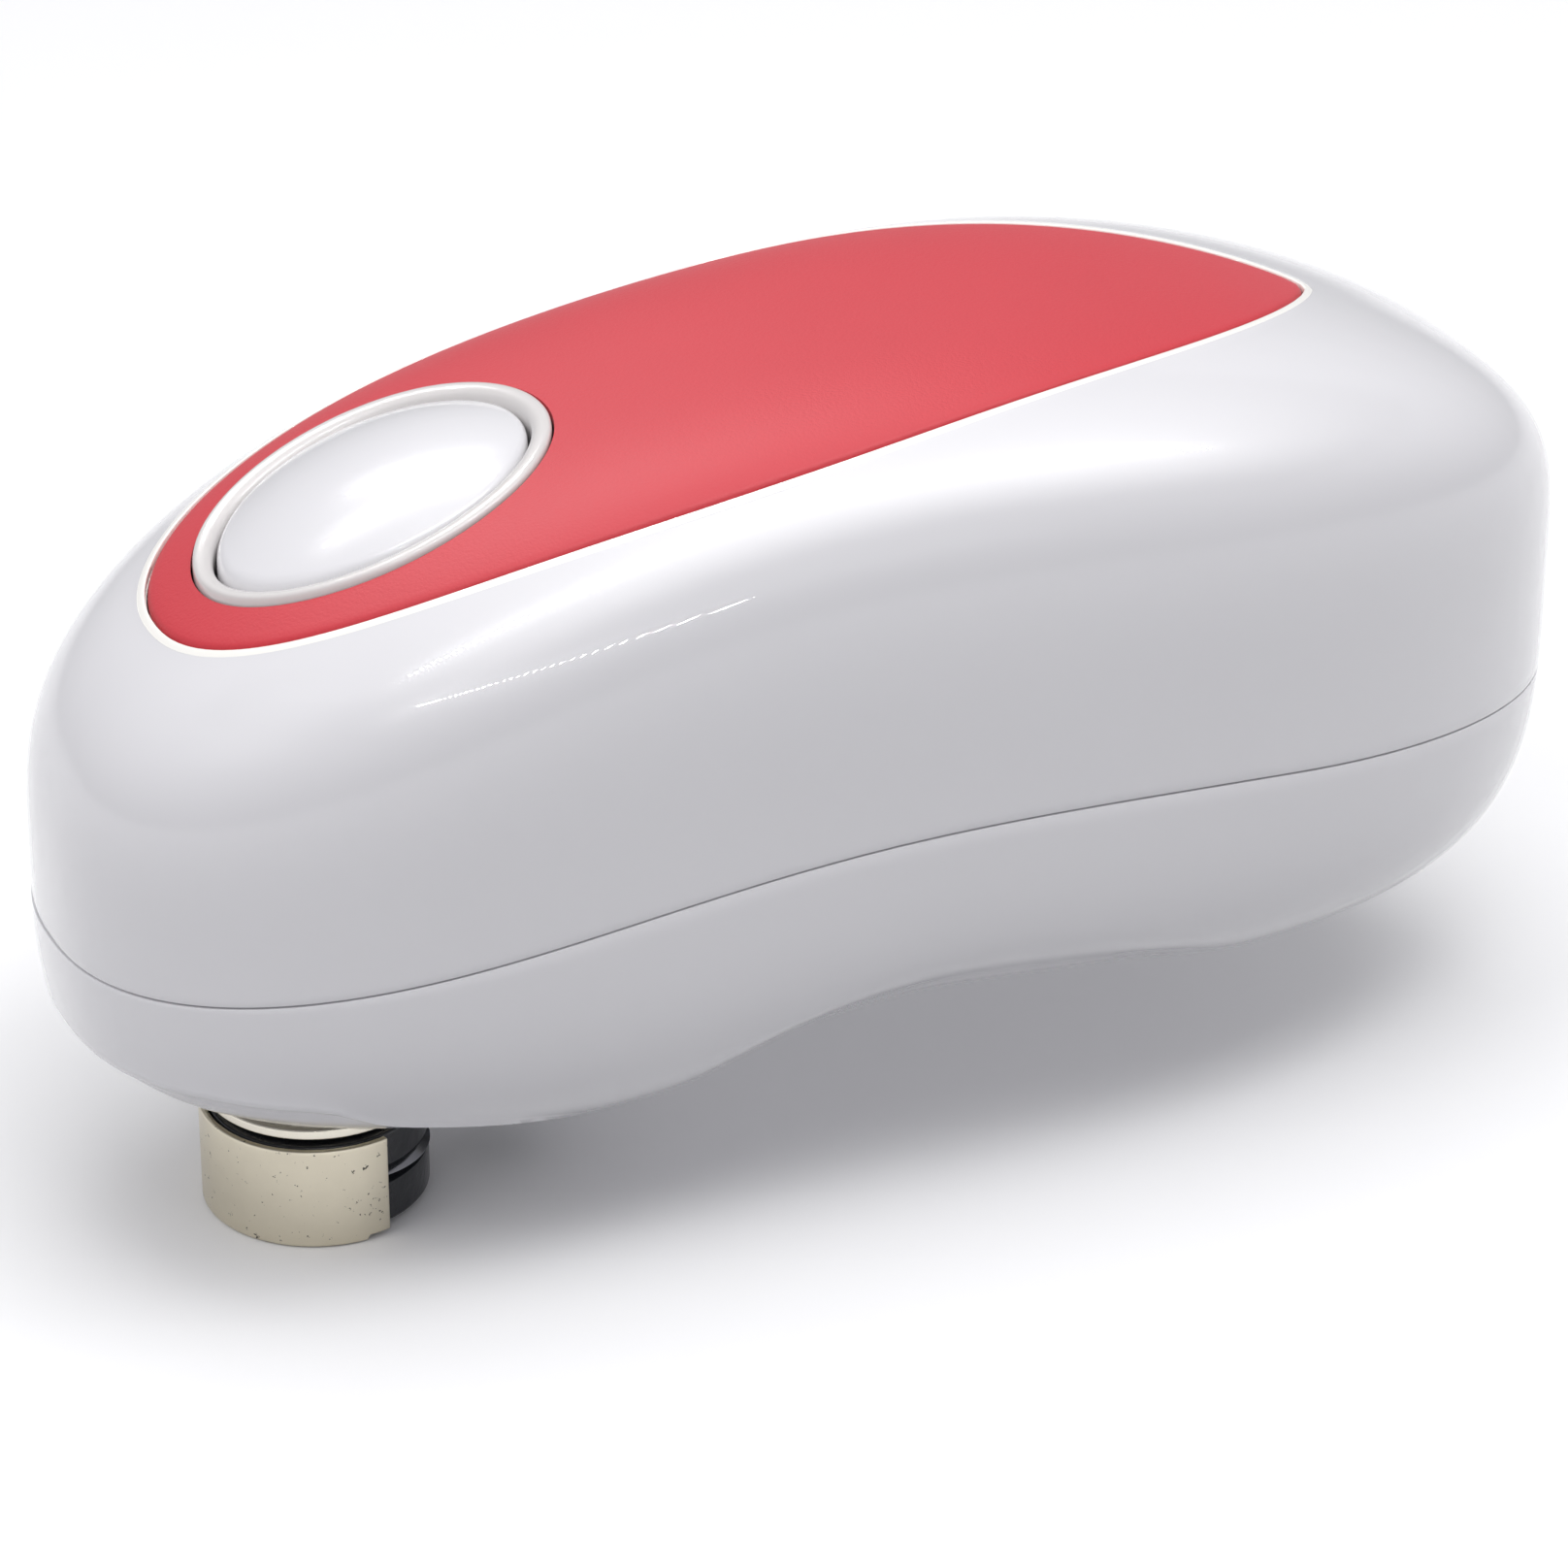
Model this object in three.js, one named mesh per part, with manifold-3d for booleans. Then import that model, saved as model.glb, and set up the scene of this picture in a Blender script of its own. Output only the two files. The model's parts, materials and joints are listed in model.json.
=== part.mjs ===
// Battery can opener: a mouse-shaped housing in two shells, a soft grip panel, a start button,
// a four-stage gear train and a swinging cutter turret that hangs under the nose.
// Millimetres, +Z up. X runs from the nose (-X) to the tail (+X), Y across.
// The origin is below the middle of the housing, level with the turret's lower face.
import * as THREE from 'three';
import { mergeVertices } from 'three/addons/utils/BufferGeometryUtils.js';
import Module from 'manifold-3d';

// ---- Driving dimensions -------------------------------------------------------------

// Housing, measured from its widest section at WIDEST_X. In plan it is two half superellipses.
const WIDEST_X = -6.4;
const NOSE_LENGTH = 85.9;
const TAIL_LENGTH = 98.7;
const HALF_WIDTH = 43.7;
const NOSE_POWER = 2.37;
const TAIL_POWER = 2.48;
const CROWN_POWER = 4.0;
const BASE_POWER = 4.2;
const WAIST = { depth: 0.167, at: -13.7, spread: 49.5 };
// Level of the widest line, rise of the crown over it, drop of the base under it, and the seam.
const BULGE = { height: 55, slope: 0.084, bend: -0.0005 };
const CROWN = { rise: 41.6, slope: -0.005, bend: -0.0015 };
const BASE = { nose: 41.3, tail: 33.5, middle: -12.1, blend: 47.7, slope: 0.143 };
const SEAM = { nose: 21.15, tail: 54.95, middle: -52.3, blend: 202.6, slope: -0.116 };
const SIDE_WALL = 2.4;
const CROWN_WALL = 4.2;
const SEAM_GAP = 0.3;
const FIT_GAP = 0.3;
const DOOR_GAP = 0.35;

// Grip panel: a soft inlay in a recess on the crown, with a hole round the button's collar.
const PANEL = { nose: -77.9, tail: 63.1, thickness: 1.4, nosePower: 0.455, tailPower: 0.794 };
const PANEL_WIDTH = { start: 63, slope: -30.3, bend: 62.3 };
const RECESS_DEPTH = 1.7;

// Start button in its collar, which is part of the upper shell.
const BUTTON_X = -52.8;
const COLLAR = { alongX: 20.2, alongY: 16.9, wall: 2.3, foot: 70, proud: 0.4 };
const BUTTON_GAP = 0.4;
const BUTTON_WALL = 1.8;
const BUTTON_FLANGE = { reach: 1.5, thickness: 1.2 };
const BUTTON_SEAT = { radius: 6, z: 80 };
const BUTTON_PEGS = { springRadius: 2.2, switchRadius: 2.4, length: 4 };
const BUTTON_SPRING = { radius: 3.6, wireRadius: 0.35, turns: 5 };
const BRIDGE = { nose: 9, tail: 15, halfWidth: 9, thickness: 1.5, top: 66 };
const SWITCH = { behind: 9, nose: 3.4, tail: 5, halfWidth: 5.5, top: 72.6, plungerRadius: 1.6 };
const BUTTON_DOME = { alongX: 30.5, alongY: 25.7, height: 20, rise: 2.6, tilt: 18.5 };

// Cutter turret under the nose.
const TURRET_X = -62;
const SLEEVE = { radius: 13.6, wall: 0.7, height: 12.5, windowDegrees: 75 };
const CORE = { radius: 12.6, foot: 0.8 };
const MAGNET = { radius: 7, height: 2.8 };
const CUTTER = { radius: 9.5, thickness: 1.6, offset: 3.7, degrees: -48, level: 7 };
const CUTTER_PIN = { radius: 2, foot: 4.1, length: 6.5 };
const CUTTER_BEVEL = 1.3;
const HUB = { radius: 5, bushWall: 2, bushFoot: 16.6, seatRadius: 10 };
const HEAD = { neckRadius: 11.6, neckHeight: 0.9, flangeRadius: 12.9, top: 2.1 };
const TURRET_SHAFT_RADIUS = 3;

// Drive wheel and spindle, parallel to the turret.
const SPINDLE_X = -39.5;
const SPINDLE_RADIUS = 3;
const DRIVE_WHEEL = {
  radius: 6.5, foot: 5.8, height: 4.4, teeth: 24, toothDepth: 0.8, hubTop: 14.4,
};
const SPINDLE_BUSH = { radius: 5.6, foot: 17 };

// Gear train between two steel plates.
const PLATE = { lowerZ: 24, upperZ: 52, thickness: 2 };
const POST_RADIUS = 2.6;
const SHAFT_STANDS_OUT = 3;
const CLIP = { radius: 5, foot: 54.3, top: 55.3 };
const BACKLASH = 0.1;
const AXLE_RADIUS = 1.2;
const OUTPUT = { teeth: 30, module: 1.0, z: 27.5, width: 4 };
const GEAR_C = { pinionTeeth: 11, teeth: 34, module: 0.8, pinionZ: 26.6, z: 33, width: 4 };
const GEAR_B = { pinionTeeth: 10, teeth: 40, module: 0.6, pinionZ: 32.2, z: 38.6, width: 4 };
const GEAR_A = { pinionTeeth: 10, teeth: 44, module: 0.5, pinionZ: 38.2, z: 44.6, width: 4 };
const MOTOR_PINION = { teeth: 10, z: 44, top: 50 };
const FRICTION_Z = 33.5;
const FRICTION_WIDTH = 4;
const FRICTION_RING_RADIUS = 5;
const MOTOR = { radius: 12.2, height: 30.5, shaftRadius: 1, shaftInside: 6 };
const END_CAP = { radius: 11, top: 1.6, hubRadius: 4, hubTop: 2.8 };

// Four AA cells side by side over the battery door.
const CELL = {
  radius: 7.25, length: 49.2, nubRadius: 2.7, nubHeight: 0.9, pitch: 15, firstX: 13.5, z: 33.4,
};
const TRAY = { nose: 9, tail: 70.2, halfWidth: 32, top: 43, wall: 1.6 };
const DOOR = { nose: 7.5, tail: 68.5, halfWidth: 29, corner: 6, cutTop: 30 };
const CONTACT = { thickness: 0.5, reach: 3.5, below: 3, above: 5, studRadius: 2, coilRadius: 4.4 };
const LEAD_RADIUS = 0.7;

const SCREWS = [[-76, -17], [-76, 17], [76, -17], [76, 17]];
const SCREW = { headRadius: 3.1, headHeight: 2, shankRadius: 1.4, headZ: 28.3, tip: 52, boss: 4 };

// Cutting bodies run this far, past the housing on every side.
const FAR = 120;

// ---- Materials ----------------------------------------------------------------------

const paint = (color, roughness, metalness) => () =>
  new THREE.MeshStandardMaterial({ color, roughness, metalness });
const whiteGloss = paint(0xe9e9ee, 0.18, 0);
const redSoft = paint(0xe0505f, 0.55, 0);
const nickel = paint(0xb9b2a0, 0.28, 1);
const steel = paint(0x8d9196, 0.35, 1);
const blackPlastic = paint(0x15171a, 0.4, 0);
const blackRubber = paint(0x101010, 0.85, 0);
const acetal = paint(0xe6e2d6, 0.45, 0);
const springSteel = paint(0xa9acb0, 0.3, 1);
const cellWrap = paint(0x3c4043, 0.4, 0.1);
const redLead = paint(0xb02020, 0.5, 0);
const blackLead = paint(0x181818, 0.5, 0);

// ---- Joining and cutting ------------------------------------------------------------

const wasm = await Module();
wasm.setup();

// A closed three.js geometry as a solid that can be joined and cut.
function solid(geometry) {
  const bare = geometry.clone();
  bare.deleteAttribute('normal');
  bare.deleteAttribute('uv');
  const merged = mergeVertices(bare, 1e-4);
  return new wasm.Manifold(new wasm.Mesh({
    numProp: 3,
    vertProperties: new Float32Array(merged.attributes.position.array),
    triVerts: new Uint32Array(merged.index.array),
  }));
}

function geometryOf(body) {
  const mesh = body.getMesh();
  const geometry = new THREE.BufferGeometry();
  geometry.setAttribute('position', new THREE.BufferAttribute(mesh.vertProperties, 3));
  geometry.setIndex(new THREE.BufferAttribute(mesh.triVerts, 1));
  geometry.computeVertexNormals();
  return geometry;
}

const group = new THREE.Group();

// Adds a named piece; shape is a geometry or a solid.
function piece(name, shape, material, parent = group) {
  const geometry = shape.isBufferGeometry ? shape : geometryOf(shape);
  const mesh = new THREE.Mesh(geometry, material());
  mesh.name = name;
  parent.add(mesh);
  return mesh;
}

// ---- Plain shapes -------------------------------------------------------------------

// Upright rod between two heights.
function rod(x, y, radius, foot, top, sides = 16) {
  const geometry = new THREE.CylinderGeometry(radius, radius, top - foot, sides);
  geometry.rotateX(Math.PI / 2);
  geometry.translate(x, y, (foot + top) / 2);
  return geometry;
}

function block(x0, x1, y0, y1, z0, z1) {
  const geometry = new THREE.BoxGeometry(x1 - x0, y1 - y0, z1 - z0);
  geometry.translate((x0 + x1) / 2, (y0 + y1) / 2, (z0 + z1) / 2);
  return geometry;
}

// Body turned about an upright axis at (x, y) from a closed outline of [radius, height] pairs.
function turned(x, y, outline, sides = 24) {
  const points = outline.map(([radius, height]) => new THREE.Vector2(radius, height));
  if (outline[0][0] > 0) points.push(points[0].clone());
  const geometry = new THREE.LatheGeometry(points, sides);
  geometry.rotateX(Math.PI / 2);
  geometry.translate(x, y, 0);
  return geometry;
}

// Upright prism over an outline of [x, y] pairs.
function prism(outline, foot, top) {
  const shape = new THREE.Shape(outline.map(([x, y]) => new THREE.Vector2(x, y)));
  const geometry = new THREE.ExtrudeGeometry(shape, { depth: top - foot, bevelEnabled: false });
  geometry.translate(0, 0, foot);
  return geometry;
}

function ellipse(x, alongX, alongY, steps = 32) {
  return Array.from({ length: steps }, (_, i) => {
    const angle = (2 * Math.PI * i) / steps;
    return [x + alongX * Math.cos(angle), alongY * Math.sin(angle)];
  });
}

function roundedRectangle(x0, x1, halfWidth, corner, steps = 3) {
  const outline = [];
  const centres = [
    [x1 - corner, halfWidth - corner],
    [x0 + corner, halfWidth - corner],
    [x0 + corner, corner - halfWidth],
    [x1 - corner, corner - halfWidth],
  ];
  centres.forEach(([cx, cy], quarter) => {
    for (let i = 0; i <= steps; i += 1) {
      const angle = (Math.PI / 2) * (quarter + i / steps);
      outline.push([cx + corner * Math.cos(angle), cy + corner * Math.sin(angle)]);
    }
  });
  return outline;
}

// ---- Housing form -------------------------------------------------------------------

const smooth = (t) => {
  const s = Math.min(1, Math.max(0, t));
  return s * s * (3 - 2 * s);
};
const mix = (a, b, t) => a + (b - a) * t;

// Heights along the housing, u being the distance behind the widest section.
const blended = (line, u) =>
  mix(line.nose, line.tail, smooth((u - line.middle) / line.blend + 0.5)) + line.slope * u;
const bulgeHeight = (u) => BULGE.height + BULGE.slope * u + BULGE.bend * u * u;
const crownRise = (u) => CROWN.rise + CROWN.slope * u + CROWN.bend * u * u;
const baseDepth = (u) => blended(BASE, u);
const seamHeight = (u) => blended(SEAM, u);
const waistScale = (u) => 1 - WAIST.depth * Math.exp(-(((u - WAIST.at) / WAIST.spread) ** 2));

// One point of the housing's surface at an angle round the plan and an angle up (+) or down (-).
function housingPoint(around, up, side, crown, base) {
  const c = Math.cos(around);
  const s = Math.sin(around);
  const power = c < 0 ? NOSE_POWER : TAIL_POWER;
  const length = (c < 0 ? NOSE_LENGTH : TAIL_LENGTH) - side;
  const rimU = length * Math.sign(c) * Math.abs(c) ** (2 / power);
  const rimY = (HALF_WIDTH - side) * Math.sign(s) * Math.abs(s) ** (2 / power);
  const section = up >= 0 ? CROWN_POWER : BASE_POWER;
  const inward = Math.cos(up) ** (2 / section);
  const lift = Math.abs(Math.sin(up)) ** (2 / section);
  const u = rimU * inward;
  const height = up >= 0 ? crownRise(u) - crown : -(baseDepth(u) - base);
  return new THREE.Vector3(WIDEST_X + u, rimY * inward * waistScale(u), bulgeHeight(u) + height * lift);
}

// The housing's outer form, drawn in by the given wall thicknesses.
function housingForm(side, crown, base, spokes = 40, rings = 6) {
  const positions = [];
  const index = [];
  for (let ring = 1 - rings; ring < rings; ring += 1) {
    const up = (Math.PI / 2) * (ring / rings);
    for (let spoke = 0; spoke < spokes; spoke += 1) {
      const around = (2 * Math.PI * spoke) / spokes;
      positions.push(...housingPoint(around, up, side, crown, base).toArray());
    }
  }
  const rows = 2 * rings - 1;
  const foot = positions.length / 3;
  positions.push(...housingPoint(0, -Math.PI / 2, side, crown, base).toArray());
  positions.push(...housingPoint(0, Math.PI / 2, side, crown, base).toArray());
  for (let spoke = 0; spoke < spokes; spoke += 1) {
    const next = (spoke + 1) % spokes;
    index.push(foot, next, spoke);
    const top = (rows - 1) * spokes;
    index.push(foot + 1, top + spoke, top + next);
    for (let row = 0; row < rows - 1; row += 1) {
      const a = row * spokes + spoke;
      const b = row * spokes + next;
      index.push(a, b, b + spokes, a, b + spokes, a + spokes);
    }
  }
  const geometry = new THREE.BufferGeometry();
  geometry.setAttribute('position', new THREE.Float32BufferAttribute(positions, 3));
  geometry.setIndex(index);
  return solid(geometry);
}

// Everything below the seam, shifted by an offset, as a block to cut with.
function belowSeam(offset) {
  const step = 10;
  const outline = [[-FAR, -FAR], [FAR, -FAR]];
  for (let x = FAR; x >= -FAR; x -= step) {
    outline.push([x, seamHeight(x - WIDEST_X) + offset]);
  }
  const geometry = prism(outline, -FAR, FAR);
  geometry.rotateX(Math.PI / 2);
  return solid(geometry);
}

// Half width of the grip panel at x.
function panelHalfWidth(x) {
  const u = (x - PANEL.nose) / (PANEL.tail - PANEL.nose);
  const width = PANEL_WIDTH.start + PANEL_WIDTH.slope * u + PANEL_WIDTH.bend * u * u;
  return u ** PANEL.nosePower * (1 - u) ** PANEL.tailPower * width;
}

function panelOutline(grow, steps = 16) {
  const sideOf = (sign) => Array.from({ length: steps - 1 }, (_, i) => {
    const t = (1 - Math.cos((Math.PI * (i + 1)) / steps)) / 2;
    const x = mix(PANEL.nose, PANEL.tail, t);
    return [mix(PANEL.nose - grow, PANEL.tail + grow, t), sign * (panelHalfWidth(x) + grow)];
  });
  const nose = [PANEL.nose - grow, 0];
  const tail = [PANEL.tail + grow, 0];
  return [nose, ...sideOf(-1), tail, ...sideOf(1).reverse()];
}

// ---- Housing shells, grip panel, battery door ---------------------------------------

const outerForm = housingForm(0, 0, 0);
const cavity = housingForm(SIDE_WALL, CROWN_WALL, SIDE_WALL);
const shell = outerForm.subtract(cavity);

const collarHole = ellipse(BUTTON_X, COLLAR.alongX - COLLAR.wall, COLLAR.alongY - COLLAR.wall);
const recess = solid(prism(panelOutline(FIT_GAP), BRIDGE.top, FAR)).subtract(
  housingForm(RECESS_DEPTH, RECESS_DEPTH, RECESS_DEPTH),
);
const collar = solid(prism(ellipse(BUTTON_X, COLLAR.alongX, COLLAR.alongY), COLLAR.foot, FAR))
  .intersect(housingForm(-COLLAR.proud, -COLLAR.proud, 0));

// The screw bosses of the two shells stop this far from the seam.
const BOSS_END_GAP = 1;

function upperBoss([x, y]) {
  const foot = seamHeight(x - WIDEST_X) + BOSS_END_GAP;
  return solid(rod(x, y, SCREW.boss, foot, FAR)).intersect(outerForm);
}

function buildUpperShell() {
  let body = shell.subtract(belowSeam(SEAM_GAP / 2)).subtract(recess).add(collar);
  SCREWS.forEach((place) => {
    body = body.add(upperBoss(place).subtract(recess));
  });
  body = body.subtract(solid(prism(collarHole, BRIDGE.top, FAR)));
  SCREWS.forEach(([x, y]) => {
    body = body.subtract(solid(rod(x, y, SCREW.shankRadius + FIT_GAP, 0, SCREW.tip + 2, 12)));
  });
  return body;
}

const doorOutline = (grow) => roundedRectangle(
  DOOR.nose - grow, DOOR.tail + grow, DOOR.halfWidth + grow, DOOR.corner,
);

function buildLowerShell() {
  let body = shell.intersect(belowSeam(-SEAM_GAP / 2));
  SCREWS.forEach(([x, y]) => {
    const top = seamHeight(x - WIDEST_X) - BOSS_END_GAP;
    body = body.add(solid(rod(x, y, SCREW.boss, 0, top)).intersect(outerForm));
  });
  body = body.add(solid(rod(TURRET_X, 0, HUB.seatRadius, 14, 22)).intersect(outerForm));
  const counterboreTop = SCREW.headZ + SCREW.headHeight + 0.5;
  SCREWS.forEach(([x, y]) => {
    body = body.subtract(solid(rod(x, y, SCREW.headRadius + FIT_GAP, 0, counterboreTop)));
    body = body.subtract(solid(rod(x, y, SCREW.shankRadius + FIT_GAP, 0, FAR, 12)));
  });
  const hubHole = HUB.radius + HUB.bushWall + FIT_GAP;
  body = body.subtract(solid(rod(TURRET_X, 0, hubHole, 0, PLATE.lowerZ, 24)));
  body = body.subtract(solid(rod(SPINDLE_X, 0, SPINDLE_RADIUS + 3, 0, PLATE.lowerZ)));
  return body.subtract(solid(prism(doorOutline(DOOR_GAP), 0, DOOR.cutTop)));
}

piece('upper_housing', buildUpperShell(), whiteGloss);
piece('lower_housing', buildLowerShell(), whiteGloss);

const panelHole = prism(
  ellipse(BUTTON_X, COLLAR.alongX + FIT_GAP, COLLAR.alongY + FIT_GAP), BRIDGE.top, FAR,
);
piece(
  'grip_panel',
  solid(prism(panelOutline(0), BRIDGE.top, FAR))
    .intersect(outerForm)
    .subtract(housingForm(PANEL.thickness, PANEL.thickness, PANEL.thickness))
    .subtract(solid(panelHole)),
  redSoft,
);

piece(
  'battery_door',
  shell.intersect(solid(prism(doorOutline(0), 0, DOOR.cutTop))),
  whiteGloss,
);

SCREWS.forEach(([x, y], i) => {
  const headTop = SCREW.headZ + SCREW.headHeight;
  piece(`housing_screw_${i + 1}`, turned(x, y, [
    [0, SCREW.headZ],
    [SCREW.headRadius, SCREW.headZ],
    [SCREW.headRadius, headTop],
    [SCREW.shankRadius, headTop],
    [SCREW.shankRadius, SCREW.tip],
    [0, SCREW.tip],
  ], 10), steel);
});

// ---- Start button, its spring and the switch ----------------------------------------

const SWITCH_X = BUTTON_X + SWITCH.behind;

// The button's domed top, square to the sloping crown, lowered by a depth.
function buttonDome(depth) {
  const dome = new THREE.SphereGeometry(1, 24, 12);
  dome.scale(BUTTON_DOME.alongX - depth, BUTTON_DOME.alongY - depth, BUTTON_DOME.height - depth);
  dome.translate(0, 0, BUTTON_DOME.rise - BUTTON_DOME.height);
  dome.rotateY(-THREE.MathUtils.degToRad(BUTTON_DOME.tilt));
  dome.translate(BUTTON_X, 0, crownHeight(BUTTON_X));
  return solid(dome);
}

// Height of the crown's middle line at x on the nose side.
function crownHeight(x) {
  const u = x - WIDEST_X;
  const inward = -u / NOSE_LENGTH;
  const cosUp = inward ** (CROWN_POWER / 2);
  const lift = Math.sqrt(1 - cosUp * cosUp) ** (2 / CROWN_POWER);
  return bulgeHeight(u) + crownRise(u) * lift;
}

function buildButton() {
  const oval = (grow, foot, top) => solid(prism(ellipse(
    BUTTON_X,
    COLLAR.alongX - COLLAR.wall - BUTTON_GAP + grow,
    COLLAR.alongY - COLLAR.wall - BUTTON_GAP + grow,
  ), foot, top));
  const { reach, thickness } = BUTTON_FLANGE;
  const flangeTop = COLLAR.foot - FIT_GAP;
  const foot = flangeTop - thickness;
  const skirtTop = COLLAR.foot + 7;
  const outside = buttonDome(0).add(oval(reach, foot, skirtTop));
  const inside = buttonDome(BUTTON_WALL).add(oval(reach, foot - 1, skirtTop - 1));
  const pegFoot = BUTTON_SEAT.z - BUTTON_PEGS.length;
  const { springRadius, switchRadius } = BUTTON_PEGS;
  const underDome = buttonDome(0.5);
  return oval(0, foot, FAR)
    .intersect(outside)
    .add(oval(reach, foot, flangeTop))
    .subtract(oval(-BUTTON_WALL, foot - 1, FAR).intersect(inside))
    .add(solid(rod(BUTTON_X, 0, BUTTON_SEAT.radius, BUTTON_SEAT.z, FAR)).intersect(underDome))
    .add(solid(rod(BUTTON_X, 0, springRadius, pegFoot, BUTTON_SEAT.z + 1)))
    .add(solid(rod(SWITCH_X, 0, switchRadius, pegFoot, FAR)).intersect(underDome));
}

piece('start_button', buildButton(), whiteGloss);

// A helix on an upright axis, for wire springs.
class Helix extends THREE.Curve {
  constructor(x, y, radius, foot, top, turns) {
    super();
    Object.assign(this, { x, y, radius, foot, top, turns });
  }

  getPoint(t, target = new THREE.Vector3()) {
    const angle = 2 * Math.PI * this.turns * t;
    return target.set(
      this.x + this.radius * Math.cos(angle),
      this.y + this.radius * Math.sin(angle),
      mix(this.foot, this.top, t),
    );
  }
}

// Round wire of a given radius along a curve.
function wire(path, radius, steps, sides = 6) {
  const section = new THREE.Shape(Array.from({ length: sides }, (_, i) => {
    const angle = (2 * Math.PI * i) / sides;
    return new THREE.Vector2(radius * Math.cos(angle), radius * Math.sin(angle));
  }));
  return new THREE.ExtrudeGeometry(section, { extrudePath: path, steps, bevelEnabled: false });
}

const springGap = 2 * BUTTON_SPRING.wireRadius;
const springPath = new Helix(
  BUTTON_X, 0, BUTTON_SPRING.radius,
  BRIDGE.top + springGap, BUTTON_SEAT.z - springGap, BUTTON_SPRING.turns,
);
piece('button_spring', wire(springPath, BUTTON_SPRING.wireRadius, 40, 4), springSteel);

// A folded steel bridge on the upper gear plate carries the spring and the switch.
const onUpperPlate = PLATE.upperZ + PLATE.thickness + FIT_GAP;
const bridgeInside = BRIDGE.halfWidth - BRIDGE.thickness;
const bridge = solid(block(
  BUTTON_X - BRIDGE.nose, BUTTON_X + BRIDGE.tail,
  -BRIDGE.halfWidth, BRIDGE.halfWidth, onUpperPlate, BRIDGE.top,
)).subtract(solid(block(
  BUTTON_X - BRIDGE.nose - 1, BUTTON_X + BRIDGE.tail + 1,
  -bridgeInside, bridgeInside, onUpperPlate - 1, BRIDGE.top - BRIDGE.thickness,
)));
piece('switch_bracket', bridge, steel);

const plungerFoot = SWITCH.top - 2;
const plungerTop = BUTTON_SEAT.z - BUTTON_PEGS.length - FIT_GAP;
const plungerBore = SWITCH.plungerRadius + FIT_GAP;
piece(
  'micro_switch',
  solid(block(
    SWITCH_X - SWITCH.nose, SWITCH_X + SWITCH.tail,
    -SWITCH.halfWidth, SWITCH.halfWidth, BRIDGE.top + FIT_GAP, SWITCH.top,
  )).subtract(solid(rod(SWITCH_X, 0, plungerBore, plungerFoot - 2.6, FAR, 12))),
  blackPlastic,
);
piece(
  'switch_plunger',
  rod(SWITCH_X, 0, SWITCH.plungerRadius, plungerFoot, plungerTop, 12),
  redSoft,
);

// ---- Gear train ---------------------------------------------------------------------

const toRadians = THREE.MathUtils.degToRad;

// The axis that stands at a distance and direction from another one.
function axisFrom([x, y], distance, degrees) {
  const angle = toRadians(degrees);
  return [x + distance * Math.cos(angle), y + distance * Math.sin(angle)];
}

const meshDistance = (teethA, teethB, module) => (module * (teethA + teethB)) / 2 + BACKLASH;
const direction = (from, to) => Math.atan2(to[1] - from[1], to[0] - from[0]);

const spindleAxis = [SPINDLE_X, 0];
const axisC = axisFrom(
  spindleAxis, meshDistance(OUTPUT.teeth, GEAR_C.pinionTeeth, OUTPUT.module), -17.9,
);
const axisB = axisFrom(
  axisC, meshDistance(GEAR_C.teeth, GEAR_B.pinionTeeth, GEAR_C.module), 98.2,
);
const axisA = axisFrom(
  axisB, meshDistance(GEAR_B.teeth, GEAR_A.pinionTeeth, GEAR_B.module), -21.1,
);
const motorAxis = axisFrom(
  axisA, meshDistance(GEAR_A.teeth, MOTOR_PINION.teeth, GEAR_A.module), -56.2,
);

// A spur gear whose tooth (or gap) centre faces a direction.
function gear([x, y], teeth, module, foot, top, facing, gapFaces = false) {
  const pitch = (2 * Math.PI) / teeth;
  const pitchRadius = (teeth * module) / 2;
  const root = pitchRadius - 1.15 * module;
  const tip = pitchRadius + 0.9 * module;
  const start = facing + (gapFaces ? pitch / 2 : 0);
  const outline = [];
  for (let tooth = 0; tooth < teeth; tooth += 1) {
    const middle = start + tooth * pitch;
    [[root, -0.3], [tip, -0.11], [tip, 0.11], [root, 0.3]].forEach(([radius, share]) => {
      const angle = middle + share * pitch;
      outline.push([x + radius * Math.cos(angle), y + radius * Math.sin(angle)]);
    });
  }
  return solid(prism(outline, foot, top));
}

// A pinion and a wheel moulded as one, running on a fixed steel axle.
function compoundGear(name, axis, small, smallModule, large, towardsLarge, towardsSmall) {
  const overlap = 0.1;
  const wheelTop = large.z + large.width;
  const body = gear(axis, small, smallModule, large.pinionZ, large.z + overlap, towardsLarge)
    .add(gear(axis, large.teeth, large.module, large.z, wheelTop, towardsSmall, true))
    .subtract(solid(rod(...axis, AXLE_RADIUS + FIT_GAP, 0, FAR)));
  piece(name, body, acetal);
}

compoundGear(
  'gear_c', axisC, GEAR_C.pinionTeeth, OUTPUT.module, GEAR_C,
  direction(axisC, spindleAxis), direction(axisC, axisB),
);
compoundGear(
  'gear_b', axisB, GEAR_B.pinionTeeth, GEAR_C.module, GEAR_B,
  direction(axisB, axisC), direction(axisB, axisA),
);
compoundGear(
  'gear_a', axisA, GEAR_A.pinionTeeth, GEAR_B.module, GEAR_A,
  direction(axisA, axisB), direction(axisA, motorAxis),
);
const onLowerPlate = PLATE.lowerZ + PLATE.thickness + FIT_GAP;
[['a', axisA], ['b', axisB], ['c', axisC]].forEach(([letter, axis]) => {
  const axle = rod(...axis, AXLE_RADIUS, onLowerPlate, PLATE.upperZ - FIT_GAP);
  piece(`axle_${letter}`, axle, steel);
});

const outputGear = gear(
  spindleAxis, OUTPUT.teeth, OUTPUT.module, OUTPUT.z, OUTPUT.z + OUTPUT.width,
  direction(spindleAxis, axisC), true,
);
piece(
  'output_gear',
  outputGear.subtract(solid(rod(...spindleAxis, SPINDLE_RADIUS + FIT_GAP, 0, FAR))),
  steel,
);

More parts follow.
